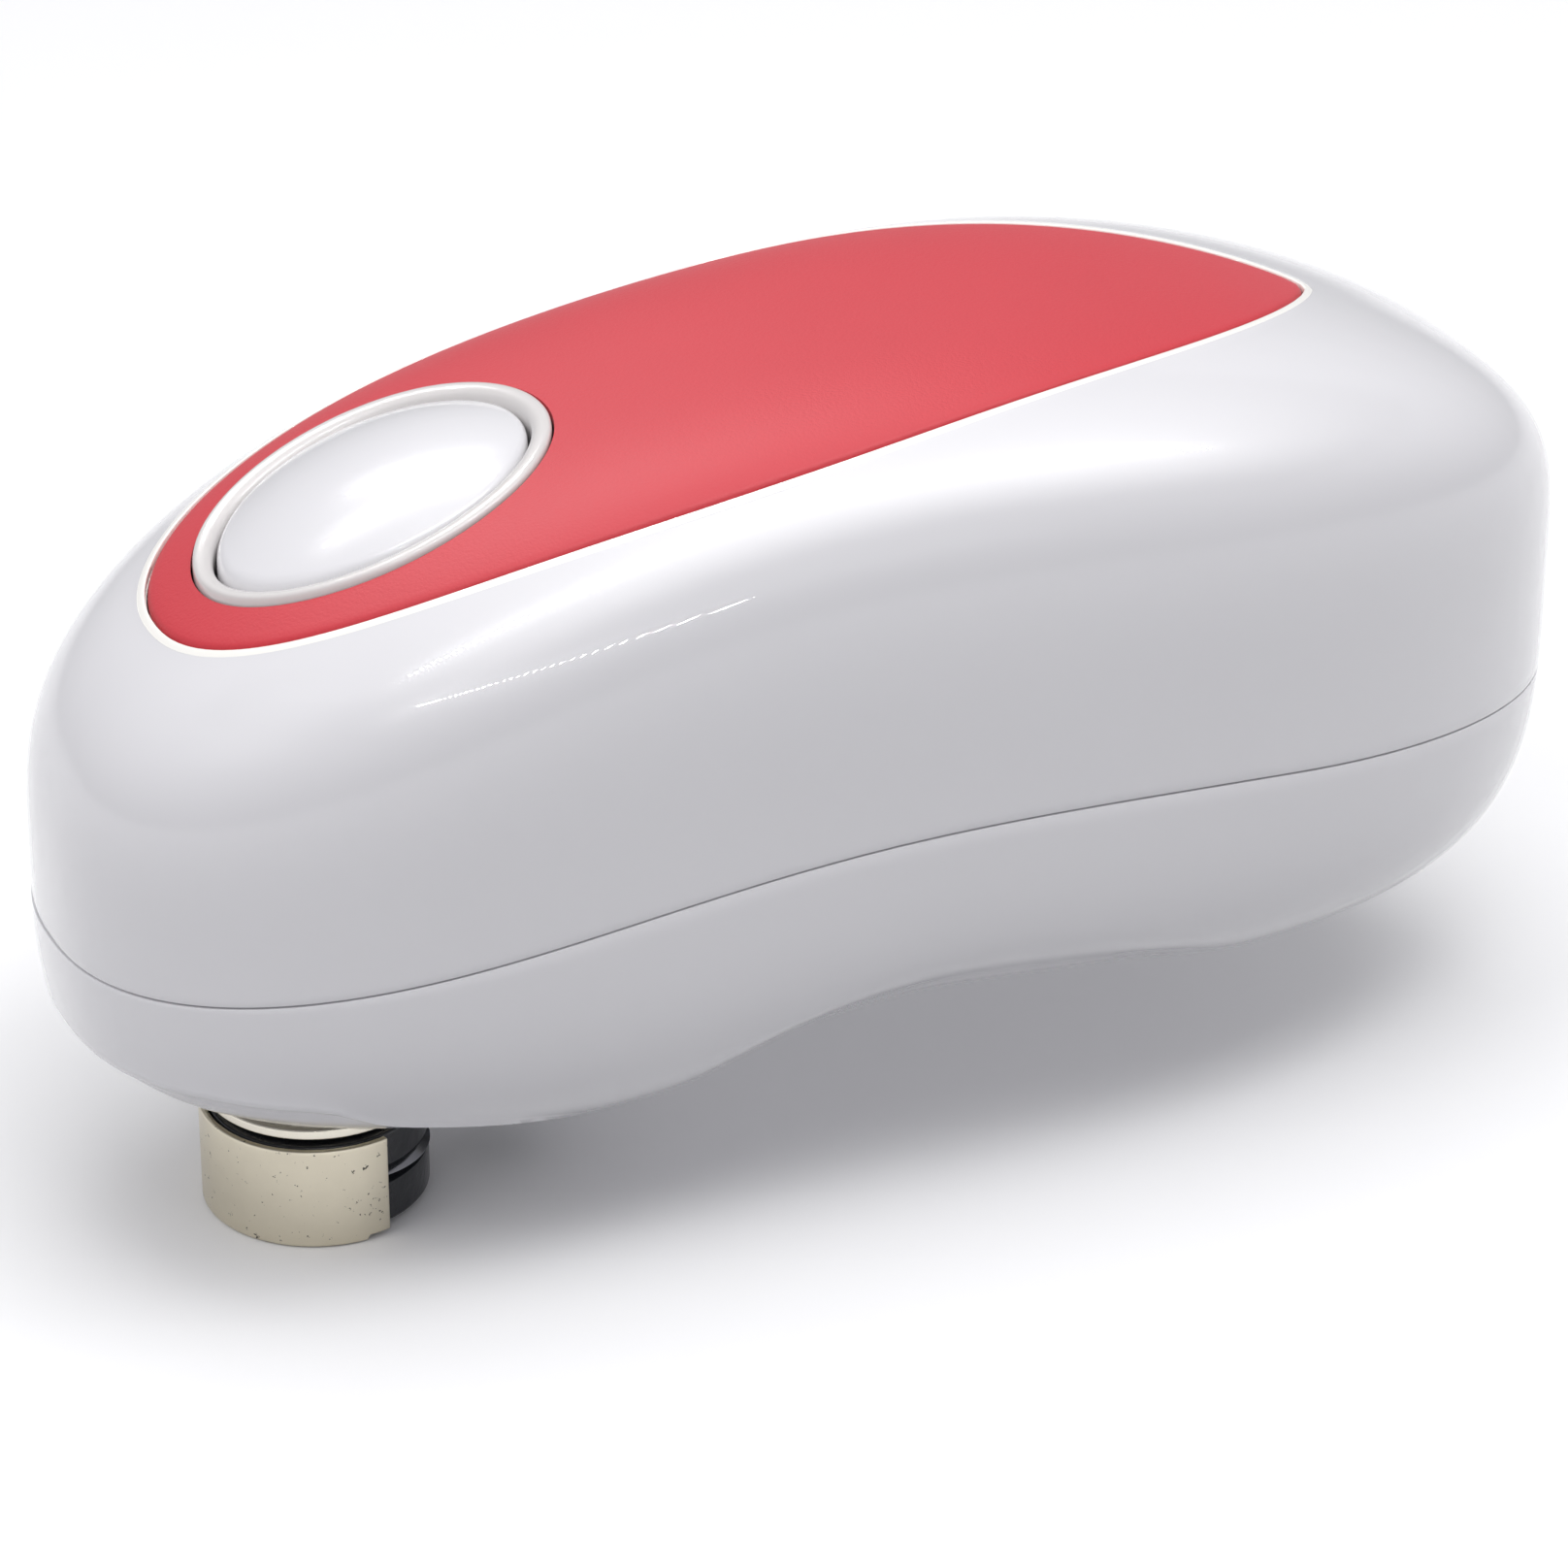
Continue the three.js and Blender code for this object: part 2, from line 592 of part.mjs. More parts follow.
// The two plates share one outline: wide round the turret and the spindle, narrower behind.
const plateOutline = [
  [-70, -14], [-58, -23.5], [-36, -23.5], [-28, -18], [7, -18],
  [7, 18], [-28, 18], [-36, 23.5], [-58, 23.5], [-70, 14],
];
const POSTS = [[-50, -20], [-50, 20], [3.5, -14.5], [3.5, 14.5]];

function gearPlate(foot, holes) {
  let body = solid(prism(plateOutline, foot, foot + PLATE.thickness));
  holes.forEach(([x, y, radius]) => {
    body = body.subtract(solid(rod(x, y, radius, 0, FAR)));
  });
  return body;
}

const shaftHoles = [
  [TURRET_X, 0, TURRET_SHAFT_RADIUS + FIT_GAP],
  [...spindleAxis, SPINDLE_RADIUS + FIT_GAP],
];
piece('gear_plate_lower', gearPlate(PLATE.lowerZ, shaftHoles), steel);
const motorHole = [...motorAxis, 4];
piece('gear_plate_upper', gearPlate(PLATE.upperZ, [...shaftHoles, motorHole]), steel);
POSTS.forEach(([x, y], i) => {
  const post = rod(x, y, POST_RADIUS, onLowerPlate, PLATE.upperZ - FIT_GAP, 12);
  piece(`plate_post_${i + 1}`, post, steel);
});

// Motor above the upper plate, with its pinion below it.
const motorTop = onUpperPlate + MOTOR.height;
const shaftTop = onUpperPlate + MOTOR.shaftInside;
const shaftBore = MOTOR.shaftRadius + 0.4;
piece(
  'motor_can',
  solid(rod(...motorAxis, MOTOR.radius, onUpperPlate, motorTop, 24))
    .subtract(solid(rod(...motorAxis, shaftBore, onUpperPlate - 1, shaftTop + 1, 12))),
  steel,
);
piece('motor_end_cap', turned(...motorAxis, [
  [0, motorTop + FIT_GAP],
  [END_CAP.radius, motorTop + FIT_GAP],
  [END_CAP.radius, motorTop + END_CAP.top],
  [END_CAP.hubRadius, motorTop + END_CAP.top],
  [END_CAP.hubRadius, motorTop + END_CAP.hubTop],
  [0, motorTop + END_CAP.hubTop],
], 24), blackPlastic);
piece('motor_shaft', rod(...motorAxis, MOTOR.shaftRadius, MOTOR_PINION.z - 1, shaftTop, 12), steel);
piece(
  'motor_pinion',
  gear(
    motorAxis, MOTOR_PINION.teeth, GEAR_A.module, MOTOR_PINION.z, MOTOR_PINION.top,
    direction(motorAxis, axisA),
  ).subtract(solid(rod(...motorAxis, MOTOR.shaftRadius + 0.15, 0, FAR, 12))),
  steel,
);

// ---- Spindle with drive wheel and friction ring -------------------------------------

const shaftsEnd = PLATE.upperZ + PLATE.thickness + SHAFT_STANDS_OUT;
piece('spindle', turned(...spindleAxis, [
  [0, DRIVE_WHEEL.foot - 1],
  [SPINDLE_RADIUS - 0.6, DRIVE_WHEEL.foot - 1],
  [SPINDLE_RADIUS, DRIVE_WHEEL.foot - 0.4],
  [SPINDLE_RADIUS, shaftsEnd],
  [0, shaftsEnd],
], 24), steel);

function serratedWheel() {
  const { radius, foot, height, teeth, toothDepth, hubTop } = DRIVE_WHEEL;
  const outline = Array.from({ length: 2 * teeth }, (_, i) => {
    const angle = (Math.PI * i) / teeth;
    const reach = i % 2 ? radius : radius - toothDepth;
    return [SPINDLE_X + reach * Math.cos(angle), reach * Math.sin(angle)];
  });
  return solid(prism(outline, foot, foot + height))
    .add(solid(rod(SPINDLE_X, 0, radius - 2 * toothDepth, foot + height - 0.5, hubTop)))
    .subtract(solid(rod(SPINDLE_X, 0, SPINDLE_RADIUS + FIT_GAP, 0, FAR)));
}

piece('drive_wheel', serratedWheel(), steel);

function sleeve(x, y, inner, outer, foot, top, sides = 16) {
  return turned(x, y, [[inner, foot], [outer, foot], [outer, top], [inner, top]], sides);
}

const spindleBore = SPINDLE_RADIUS + FIT_GAP;
piece(
  'friction_ring',
  sleeve(...spindleAxis, spindleBore, FRICTION_RING_RADIUS, FRICTION_Z, FRICTION_Z + FRICTION_WIDTH),
  blackRubber,
);
piece(
  'spindle_bush',
  sleeve(
    ...spindleAxis, spindleBore, SPINDLE_BUSH.radius, SPINDLE_BUSH.foot, PLATE.lowerZ - FIT_GAP,
  ),
  acetal,
);
piece(
  'spindle_clip',
  sleeve(...spindleAxis, spindleBore, CLIP.radius, CLIP.foot, CLIP.top),
  springSteel,
);

// ---- Cutter turret ------------------------------------------------------------------

const headFoot = SLEEVE.height + FIT_GAP;
piece('turret_shaft', turned(TURRET_X, 0, [
  [0, headFoot],
  [HEAD.neckRadius, headFoot],
  [HEAD.neckRadius, headFoot + HEAD.neckHeight],
  [HEAD.flangeRadius, headFoot + HEAD.neckHeight],
  [HEAD.flangeRadius, headFoot + HEAD.top],
  [HUB.radius, headFoot + HEAD.top],
  [HUB.radius, PLATE.lowerZ - 2 * FIT_GAP],
  [TURRET_SHAFT_RADIUS, PLATE.lowerZ - 2 * FIT_GAP],
  [TURRET_SHAFT_RADIUS, shaftsEnd],
  [0, shaftsEnd],
], 32), nickel);
piece(
  'turret_bush',
  sleeve(
    TURRET_X, 0, HUB.radius + FIT_GAP, HUB.radius + HUB.bushWall,
    HUB.bushFoot, PLATE.lowerZ - FIT_GAP,
  ),
  acetal,
);
const drumRadius = SPINDLE_X - TURRET_X - FRICTION_RING_RADIUS - FIT_GAP;
piece(
  'friction_drum',
  sleeve(
    TURRET_X, 0, TURRET_SHAFT_RADIUS + FIT_GAP, drumRadius,
    FRICTION_Z, FRICTION_Z + FRICTION_WIDTH, 32,
  ),
  acetal,
);
piece(
  'turret_clip',
  sleeve(TURRET_X, 0, TURRET_SHAFT_RADIUS + FIT_GAP, CLIP.radius, CLIP.foot, CLIP.top),
  springSteel,
);

// Plated guard: a sleeve open on the side that faces the drive wheel.
function guardSleeve() {
  const { radius, wall, height, windowDegrees } = SLEEVE;
  const steps = 20;
  const from = toRadians(windowDegrees);
  const to = 2 * Math.PI - from;
  const arc = (reach) => Array.from({ length: steps + 1 }, (_, i) => {
    const angle = mix(from, to, i / steps);
    return [TURRET_X + reach * Math.cos(angle), reach * Math.sin(angle)];
  });
  return prism([...arc(radius), ...arc(radius - wall).reverse()], 0, height);
}

piece('turret_sleeve', guardSleeve(), nickel);

const [cutterX, cutterY] = axisFrom([TURRET_X, 0], CUTTER.offset, CUTTER.degrees);
const slotGap = 0.4;
const slotFoot = CUTTER.level - CUTTER.thickness / 2 - slotGap;
const slotTop = CUTTER.level + CUTTER.thickness / 2 + slotGap;
const pinBore = CUTTER_PIN.radius + FIT_GAP;
const pinTop = CUTTER_PIN.foot + CUTTER_PIN.length;
piece(
  'turret_core',
  solid(rod(TURRET_X, 0, CORE.radius, CORE.foot, SLEEVE.height, 32))
    .subtract(solid(rod(cutterX, cutterY, CUTTER.radius + slotGap, slotFoot, slotTop, 32)))
    .subtract(solid(rod(cutterX, cutterY, pinBore, CUTTER_PIN.foot - FIT_GAP, pinTop + FIT_GAP)))
    .subtract(solid(rod(TURRET_X, 0, MAGNET.radius + FIT_GAP, 0, MAGNET.height + FIT_GAP, 20))),
  blackPlastic,
);
piece('lid_magnet', rod(TURRET_X, 0, MAGNET.radius, 0, MAGNET.height, 20), nickel);
piece('cutter_pin', rod(cutterX, cutterY, CUTTER_PIN.radius, CUTTER_PIN.foot, pinTop), steel);

const halfEdge = CUTTER.thickness / 2;
piece('cutter_wheel', turned(cutterX, cutterY, [
  [pinBore, CUTTER.level - halfEdge],
  [CUTTER.radius - CUTTER_BEVEL, CUTTER.level - halfEdge],
  [CUTTER.radius, CUTTER.level],
  [CUTTER.radius - CUTTER_BEVEL, CUTTER.level + halfEdge],
  [pinBore, CUTTER.level + halfEdge],
], 32), steel);

// ---- Battery bay --------------------------------------------------------------------

const bayLimit = housingForm(SIDE_WALL + 0.4, CROWN_WALL + 0.4, SIDE_WALL + 0.4);
const bay = solid(block(TRAY.nose, TRAY.tail, -TRAY.halfWidth, TRAY.halfWidth, 24, TRAY.top))
  .subtract(solid(block(
    TRAY.nose + TRAY.wall, TRAY.tail - TRAY.wall,
    TRAY.wall - TRAY.halfWidth, TRAY.halfWidth - TRAY.wall, 10, TRAY.top - TRAY.wall,
  )))
  .intersect(bayLimit);
piece('battery_tray', bay, blackPlastic);

const cellRows = [-1.5, -0.5, 0.5, 1.5].map((place) => place * CELL.pitch);
const cellTail = CELL.firstX + CELL.length;

// A cell lies along X; its button end faces the nose or the tail by turns.
cellRows.forEach((y, i) => {
  const cell = turned(0, 0, [
    [0, 0],
    [CELL.radius - 0.45, 0],
    [CELL.radius, 0.6],
    [CELL.radius, CELL.length - CELL.nubHeight],
    [CELL.nubRadius, CELL.length - CELL.nubHeight],
    [CELL.nubRadius, CELL.length],
    [0, CELL.length],
  ], 14);
  const noseFirst = i % 2 === 0;
  cell.rotateY(noseFirst ? -Math.PI / 2 : Math.PI / 2);
  cell.translate(noseFirst ? cellTail : CELL.firstX, y, CELL.z);
  piece(`battery_cell_${i + 1}`, cell, cellWrap);
});

// A contact strip across one or two cells, with a pressed stud or a coned spring for each.
function contact(name, x, rows, facing) {
  const { thickness, reach, below, above, studRadius, coilRadius } = CONTACT;
  let body = solid(block(
    x - thickness / 2, x + thickness / 2,
    rows[0] - reach, rows[rows.length - 1] + reach, CELL.z - below, CELL.z + above,
  ));
  rows.forEach((y) => {
    const noseFirst = cellRows.indexOf(y) % 2 === 0;
    const button = noseFirst === (facing > 0);
    const gap = facing > 0 ? CELL.firstX - x : x - cellTail;
    const wide = button ? studRadius + 0.4 : coilRadius;
    const narrow = button ? studRadius : coilRadius / 2;
    const cone = new THREE.CylinderGeometry(narrow, wide, gap - FIT_GAP, 10);
    cone.rotateZ(facing > 0 ? -Math.PI / 2 : Math.PI / 2);
    cone.translate(x + (facing * (gap - FIT_GAP)) / 2, y, CELL.z);
    body = body.add(solid(cone));
  });
  piece(name, body, springSteel);
}

const noseContactX = TRAY.nose + TRAY.wall + 0.55;
const tailContactX = TRAY.tail - TRAY.wall - 0.55;
contact('contact_nose_left', noseContactX, [cellRows[0]], 1);
contact('contact_nose_middle', noseContactX, [cellRows[1], cellRows[2]], 1);
contact('contact_nose_right', noseContactX, [cellRows[3]], 1);
contact('contact_tail_left', tailContactX, [cellRows[0], cellRows[1]], -1);
contact('contact_tail_right', tailContactX, [cellRows[2], cellRows[3]], -1);

// ---- Leads --------------------------------------------------------------------------

// An insulated lead through hand-set points.
function lead(name, points, material) {
  const path = new THREE.CatmullRomCurve3(points.map((p) => new THREE.Vector3(...p)));
  piece(name, wire(path, LEAD_RADIUS, 14, 5), material);
}

const capTop = motorTop + 3.9;
lead('lead_switch_to_motor', [
  [motorAxis[0] + 3, motorAxis[1], capTop],
  [-10, -12, capTop - 0.5],
  [-24, -15, 78],
  [-31, -9, 64],
  [-37, -4, 60],
  [-44, -4, 62.8],
], redLead);
lead('lead_battery_to_switch', [
  [TRAY.nose - 1.2, -24, 38],
  [2, -24, 47],
  [-12, -23, 58],
  [-27, -16, 60],
  [-35, -1, 59],
  [-43, 2, 59.5],
  [-48, 3, 62.8],
], redLead);
lead('lead_motor_to_battery', [
  [motorAxis[0] - 3, motorAxis[1] + 1.5, capTop],
  [-8, 5, capTop],
  [-4, 15, 82],
  [0, 24, 62],
  [4, 26, 46],
  [TRAY.nose - 1.2, 24, 38],
], blackLead);

export default group;
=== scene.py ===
import json
import math

import bmesh
import bpy
import numpy as np
from mathutils import Matrix, Vector


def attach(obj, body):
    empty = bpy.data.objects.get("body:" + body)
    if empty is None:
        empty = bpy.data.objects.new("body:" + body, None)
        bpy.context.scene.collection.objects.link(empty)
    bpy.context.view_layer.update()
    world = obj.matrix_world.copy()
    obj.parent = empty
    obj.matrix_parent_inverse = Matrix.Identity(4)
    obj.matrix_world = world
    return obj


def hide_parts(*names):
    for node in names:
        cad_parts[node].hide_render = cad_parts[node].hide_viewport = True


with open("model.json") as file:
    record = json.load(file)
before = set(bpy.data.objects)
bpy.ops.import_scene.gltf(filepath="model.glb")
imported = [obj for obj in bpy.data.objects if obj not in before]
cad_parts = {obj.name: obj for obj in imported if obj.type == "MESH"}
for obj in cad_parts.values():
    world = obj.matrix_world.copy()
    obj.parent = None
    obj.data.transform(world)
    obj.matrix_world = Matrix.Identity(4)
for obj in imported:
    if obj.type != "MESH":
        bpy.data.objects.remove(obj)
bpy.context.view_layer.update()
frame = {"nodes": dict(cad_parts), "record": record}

# ---- Camera, floor and studio light ---------------------------------------------------------
# A long lens looks down on the nose from the near side. The floor is matt white card; it can't
# be seen from below, so that the underside stays in view.

MM = 0.001
WIDEST_X = -6.4
AIM = Vector((WIDEST_X, 0, 56.5)) * MM
CAMERA_TURN = math.radians(-24.66)
CAMERA_RISE = math.radians(27)
CAMERA_DISTANCE = 0.65

camera_data = bpy.data.cameras.new("studio_camera")
camera_data.sensor_width = 36
camera_data.lens = 130.3
camera_data.shift_x = 0.0162
camera_data.shift_y = -0.0823
camera_data.clip_start = 0.01
camera = bpy.data.objects.new("studio_camera", camera_data)
bpy.context.scene.collection.objects.link(camera)
back = Vector((
    math.sin(CAMERA_TURN) * math.cos(CAMERA_RISE),
    -math.cos(CAMERA_TURN) * math.cos(CAMERA_RISE),
    math.sin(CAMERA_RISE),
))
camera.location = AIM + back * CAMERA_DISTANCE
camera.rotation_mode = "QUATERNION"
camera.rotation_quaternion = (-back).to_track_quat("-Z", "Y")
bpy.context.scene.camera = camera
bpy.context.scene.view_settings.view_transform = "Standard"


def link(name, bm):
    """A new object at the origin from a bmesh in metres, with smooth faces."""
    mesh = bpy.data.meshes.new(name)
    for face in bm.faces:
        face.smooth = True
    bm.to_mesh(mesh)
    bm.free()
    made = bpy.data.objects.new(name, mesh)
    bpy.context.scene.collection.objects.link(made)
    return made


def new_material(name):
    """A node material with its Principled shader, and a function that adds a node."""
    material = bpy.data.materials.new(name)
    material.use_nodes = True
    shader = material.node_tree.nodes["Principled BSDF"]

    def add(kind, **settings):
        node = material.node_tree.nodes.new(kind)
        for key, value in settings.items():
            setattr(node, key, value)
        return node

    return material, shader, add, material.node_tree.links.new


floor_bm = bmesh.new()
bmesh.ops.create_grid(floor_bm, x_segments=1, y_segments=1, size=6)
bmesh.ops.translate(floor_bm, verts=floor_bm.verts, vec=(0, 0, -0.0002))
floor = link("floor", floor_bm)
floor_paint, floor_shader, add, join = new_material("white_card")
floor_shader.inputs["Base Color"].default_value = (0.93, 0.93, 0.935, 1)
floor_shader.inputs["Roughness"].default_value = 0.9
see_through = add("ShaderNodeBsdfTransparent")
side = add("ShaderNodeNewGeometry")
blend = add("ShaderNodeMixShader")
join(side.outputs["Backfacing"], blend.inputs["Fac"])
join(floor_shader.outputs["BSDF"], blend.inputs[1])
join(see_through.outputs["BSDF"], blend.inputs[2])
join(blend.outputs["Shader"], floor_paint.node_tree.nodes["Material Output"].inputs["Surface"])
floor.data.materials.append(floor_paint)
floor.visible_diffuse = False


def soft_light(name, place, aim, width, depth, power, colour=(1, 1, 1)):
    data = bpy.data.lights.new(name, "AREA")
    data.shape = "RECTANGLE"
    data.size = width
    data.size_y = depth
    data.energy = power
    data.color = colour
    lamp = bpy.data.objects.new(name, data)
    bpy.context.scene.collection.objects.link(lamp)
    lamp.location = place
    lamp.rotation_mode = "QUATERNION"
    lamp.rotation_quaternion = (Vector(aim) - Vector(place)).to_track_quat("-Z", "Y")
    lamp.visible_glossy = False


soft_light("overhead_box", (0.05, 0.02, 1.3), (0, 0, 0.05), 1.3, 1.0, 8)
soft_light("near_box", (0.15, -0.55, 1.25), (0, 0, 0.05), 1.5, 0.45, 5.5)
soft_light("nose_box", (-1.0, -0.15, 0.95), (0, 0, 0.05), 0.7, 0.7, 4)
soft_light("tail_box", (1.1, -0.3, 0.7), (0, 0, 0.05), 0.7, 0.7, 1.2)


def sheen_card(name, place, length, depth, strength):
    """A glowing card that fades out to its edges, seen only as a soft sheen on glossy pieces."""
    bm = bmesh.new()
    bmesh.ops.create_grid(bm, x_segments=1, y_segments=1, size=0.5)
    bmesh.ops.scale(bm, verts=bm.verts, vec=(length, depth, 1))
    bmesh.ops.translate(bm, verts=bm.verts, vec=place)
    bmesh.ops.reverse_faces(bm, faces=bm.faces)
    card = link(name, bm)
    glow, shader, add, join = new_material(name)
    spread = add("ShaderNodeMapping")
    spread.inputs["Location"].default_value = (
        -place[0] * 2 / length, -place[1] * 2 / depth, -place[2] * 2 / length)
    spread.inputs["Scale"].default_value = (2 / length, 2 / depth, 2 / length)
    fade = add("ShaderNodeTexGradient", gradient_type="QUADRATIC_SPHERE")
    power = add("ShaderNodeMath", operation="MULTIPLY")
    power.inputs[1].default_value = strength
    join(add("ShaderNodeTexCoord").outputs["Object"], spread.inputs["Vector"])
    join(spread.outputs["Vector"], fade.inputs["Vector"])
    join(fade.outputs["Fac"], power.inputs[0])
    join(power.outputs["Value"], shader.inputs["Emission Strength"])
    shader.inputs["Base Color"].default_value = (0.5, 0.5, 0.5, 1)
    shader.inputs["Emission Color"].default_value = (1, 1, 1, 1)
    card.data.materials.append(glow)
    card.visible_camera = False
    card.visible_diffuse = False
    card.visible_shadow = False


sheen_card("near_sheen", (0.4, -0.8, 1.1), 3.4, 3.0, 3)


def led_row(name, start, end, count, along, across, strength):
    """A row of small flat lamps; the glossy case shows it as a dashed streak."""
    start, end = Vector(start), Vector(end)
    turn = math.atan2(end.y - start.y, end.x - start.x)
    bm = bmesh.new()
    for step in range(count):
        made = bmesh.ops.create_grid(bm, x_segments=1, y_segments=1, size=0.5)
        bmesh.ops.scale(bm, verts=made["verts"], vec=(along, across, 1))
        bmesh.ops.rotate(bm, verts=made["verts"], matrix=Matrix.Rotation(turn, 3, "Z"))
        place = start.lerp(end, (step + 0.5) / count)
        bmesh.ops.translate(bm, verts=made["verts"], vec=place)
    bmesh.ops.reverse_faces(bm, faces=bm.faces)
    row = link(name, bm)
    glow, shader, add, join = new_material(name)
    shader.inputs["Base Color"].default_value = (0.8, 0.8, 0.8, 1)
    shader.inputs["Emission Color"].default_value = (1, 1, 1, 1)
    shader.inputs["Emission Strength"].default_value = strength
    row.data.materials.append(glow)
    row.visible_camera = False
    row.visible_diffuse = False
    row.visible_shadow = False


led_row("near_leds", (-0.5, -0.52, 0.95), (0.75, -0.52, 0.95), 66, 0.0085, 0.035, 70)
led_row("top_tube", (-0.50, 0.55, 0.95), (0.24, 0.34, 0.95), 1, 0.76, 0.035, 45)
led_row("back_tube", (-0.28, 0.93, 0.95), (0.27, 0.55, 0.95), 1, 0.66, 0.035, 45)
led_row("low_leds", (-0.95, -1.5, 1.25), (0.33, -1.5, 0.40), 40, 0.012, 0.06, 90)

world = bpy.data.worlds.new("studio")
world.use_nodes = True
world.node_tree.nodes["Background"].inputs["Color"].default_value = (0.96, 0.96, 1.0, 1)
world.node_tree.nodes["Background"].inputs["Strength"].default_value = 0.44
bpy.context.scene.world = world

# ---- Upper housing --------------------------------------------------------------------------
# The top half of the case, injection-moulded in glossy white ABS with 2.4 mm walls. Its crown
# has a recess with a rounded rim for the grip panel; it closes on the lower half at the seam.

NOSE_LENGTH = 85.9
TAIL_LENGTH = 98.7
HALF_WIDTH = 43.7
NOSE_POWER = 2.37
TAIL_POWER = 2.48
CROWN_POWER = 4.0
BASE_POWER = 4.2
# Level of the widest line, rise of the crown over it and drop of the base under it, the waist and
# the seam, all along the case.
BULGE = {"level": 55, "slope": 0.084, "bend": 0.0005}
CROWN = {"rise": 41.6, "slope": 0.005, "bend": 0.0015}
BASE = {"nose": 41.3, "tail": 33.5, "ahead": 12.1, "blend": 47.7, "slope": 0.143}
SEAM = {"nose": 21.15, "tail": 54.95, "ahead": 52.3, "blend": 202.6, "slope": -0.116}
WAIST = {"depth": 0.167, "ahead": 13.7, "spread": 49.5}
WALL = 2.4
SEAM_GAP = 0.3
PANEL_NOSE = -77.9
PANEL_TAIL = 63.1


def smooth(t):
    t = min(1.0, max(0.0, t))
    return t * t * (3 - 2 * t)


def mix(a, b, t):
    return a + (b - a) * t


def blended(line, u):
    share = smooth((u + line["ahead"]) / line["blend"] + 0.5)
    return mix(line["nose"], line["tail"], share) + line["slope"] * u


def bulge_height(u):
    return BULGE["level"] + BULGE["slope"] * u - BULGE["bend"] * u * u


def crown_rise(u):
    return CROWN["rise"] - CROWN["slope"] * u - CROWN["bend"] * u * u


def base_depth(u):
    return blended(BASE, u)


def waist_scale(u):
    return 1 - WAIST["depth"] * math.exp(-(((u + WAIST["ahead"]) / WAIST["spread"]) ** 2))


def seam_height(x):
    return blended(SEAM, x - WIDEST_X)


def rim_point(around, inset=0.0):
    """Where the case is widest in a direction round the plan: distance behind WIDEST_X, and Y."""
    c, s = math.cos(around), math.sin(around)
    power = NOSE_POWER if c < 0 else TAIL_POWER
    length = (NOSE_LENGTH if c < 0 else TAIL_LENGTH) - inset
    u = math.copysign(length * abs(c) ** (2 / power), c)
    return u, math.copysign((HALF_WIDTH - inset) * abs(s) ** (2 / power), s)


def case_point(around, ratio, upward=True, inset=0.0):
    """A point of the case at a share (ratio) of the way from its middle to its rim in plan."""
    rim_u, rim_y = rim_point(around, inset)
    power = CROWN_POWER if upward else BASE_POWER
    lift = max(0.0, 1 - ratio ** power) ** (1 / power)
    u = rim_u * ratio
    height = crown_rise(u) - inset if upward else inset - base_depth(u)
    return Vector((WIDEST_X + u, rim_y * ratio * waist_scale(u), bulge_height(u) + height * lift))


def section_point(around, climb, inset=0.0):
    """The same surface walked from the base's middle (climb -1) over the rim (0) to the crown (1)."""
    angle = math.pi / 2 * abs(climb) ** 1.5
    power = CROWN_POWER if climb >= 0 else BASE_POWER
    return case_point(around, math.cos(angle) ** (2 / power), climb >= 0, inset)


def solve(low, high, inside, steps=40):
    """The value between low and high where inside() stops being true."""
    for _ in range(steps):
        middle = (low + high) / 2
        if inside(middle):
            low = middle
        else:
            high = middle
    return (low + high) / 2


# The panel's outline on one side, from its nose to its blunt tail, as points and the steps between.
panel_share = (1 - np.cos(np.linspace(0, math.pi, 240))) / 2 * 0.9975
panel_half = panel_share ** 0.455 * (1 - panel_share) ** 0.794 * (
    63 - 30.3 * panel_share + 62.3 * panel_share ** 2)
panel_x = PANEL_NOSE + panel_share * (PANEL_TAIL - PANEL_NOSE)
panel_line = np.stack([np.append(panel_x, panel_x[-1]), np.append(panel_half, 0)], 1)
panel_from = panel_line[:-1]
panel_step = panel_line[1:] - panel_line[:-1]
panel_step_square = (panel_step ** 2).sum(1) + 1e-12


def panel_edge(x, y):
    """How far a point in plan is outside the grip panel's outline (negative inside)."""
    away = np.array((x, abs(y))) - panel_from
    along = np.clip((away * panel_step).sum(1) / panel_step_square, 0, 1)
    short = away - panel_step * along[:, None]
    gap = math.sqrt((short ** 2).sum(1).min())
    inside = panel_x[0] < x < panel_x[-1] and abs(y) < np.interp(x, panel_x, panel_half)
    return -gap if inside else gap


def panel_climb(around, margin):
    """Where the walk up the case in one direction meets the panel's outline, moved out by margin."""
    def outside(climb):
        point = section_point(around, climb)
        return panel_edge(point.x, point.y) > margin
    return solve(0.02, 0.999, outside, 24)


def seam_climb(around, gap):
    """Where the walk up the case in one direction crosses the seam, moved up by gap."""
    def below(climb):
        point = section_point(around, climb)
        return point.z < seam_height(point.x) + gap
    return solve(-0.9, 0.9, below)


def formed_sheet(columns, rows, place):
    """A grid rolled up round the plan; place(s, t) gives each point in millimetres."""
    bm = bmesh.new()
    bmesh.ops.create_grid(bm, x_segments=columns, y_segments=rows, size=0.5)
    for vert in bm.verts:
        vert.co = place(vert.co.x + 0.5, vert.co.y + 0.5) * MM
    bmesh.ops.remove_doubles(bm, verts=bm.verts, dist=1e-7)
    bmesh.ops.recalc_face_normals(bm, faces=bm.faces)
    return bm


def remembered(function):
    """Keeps a slow function's answers, since a grid asks for each direction many times."""
    known = {}

    def ask(around, extra):
        key = (round(around, 7), extra)
        if key not in known:
            known[key] = function(around, extra)
        return known[key]

    return ask


panel_climb = remembered(panel_climb)
seam_climb = remembered(seam_climb)

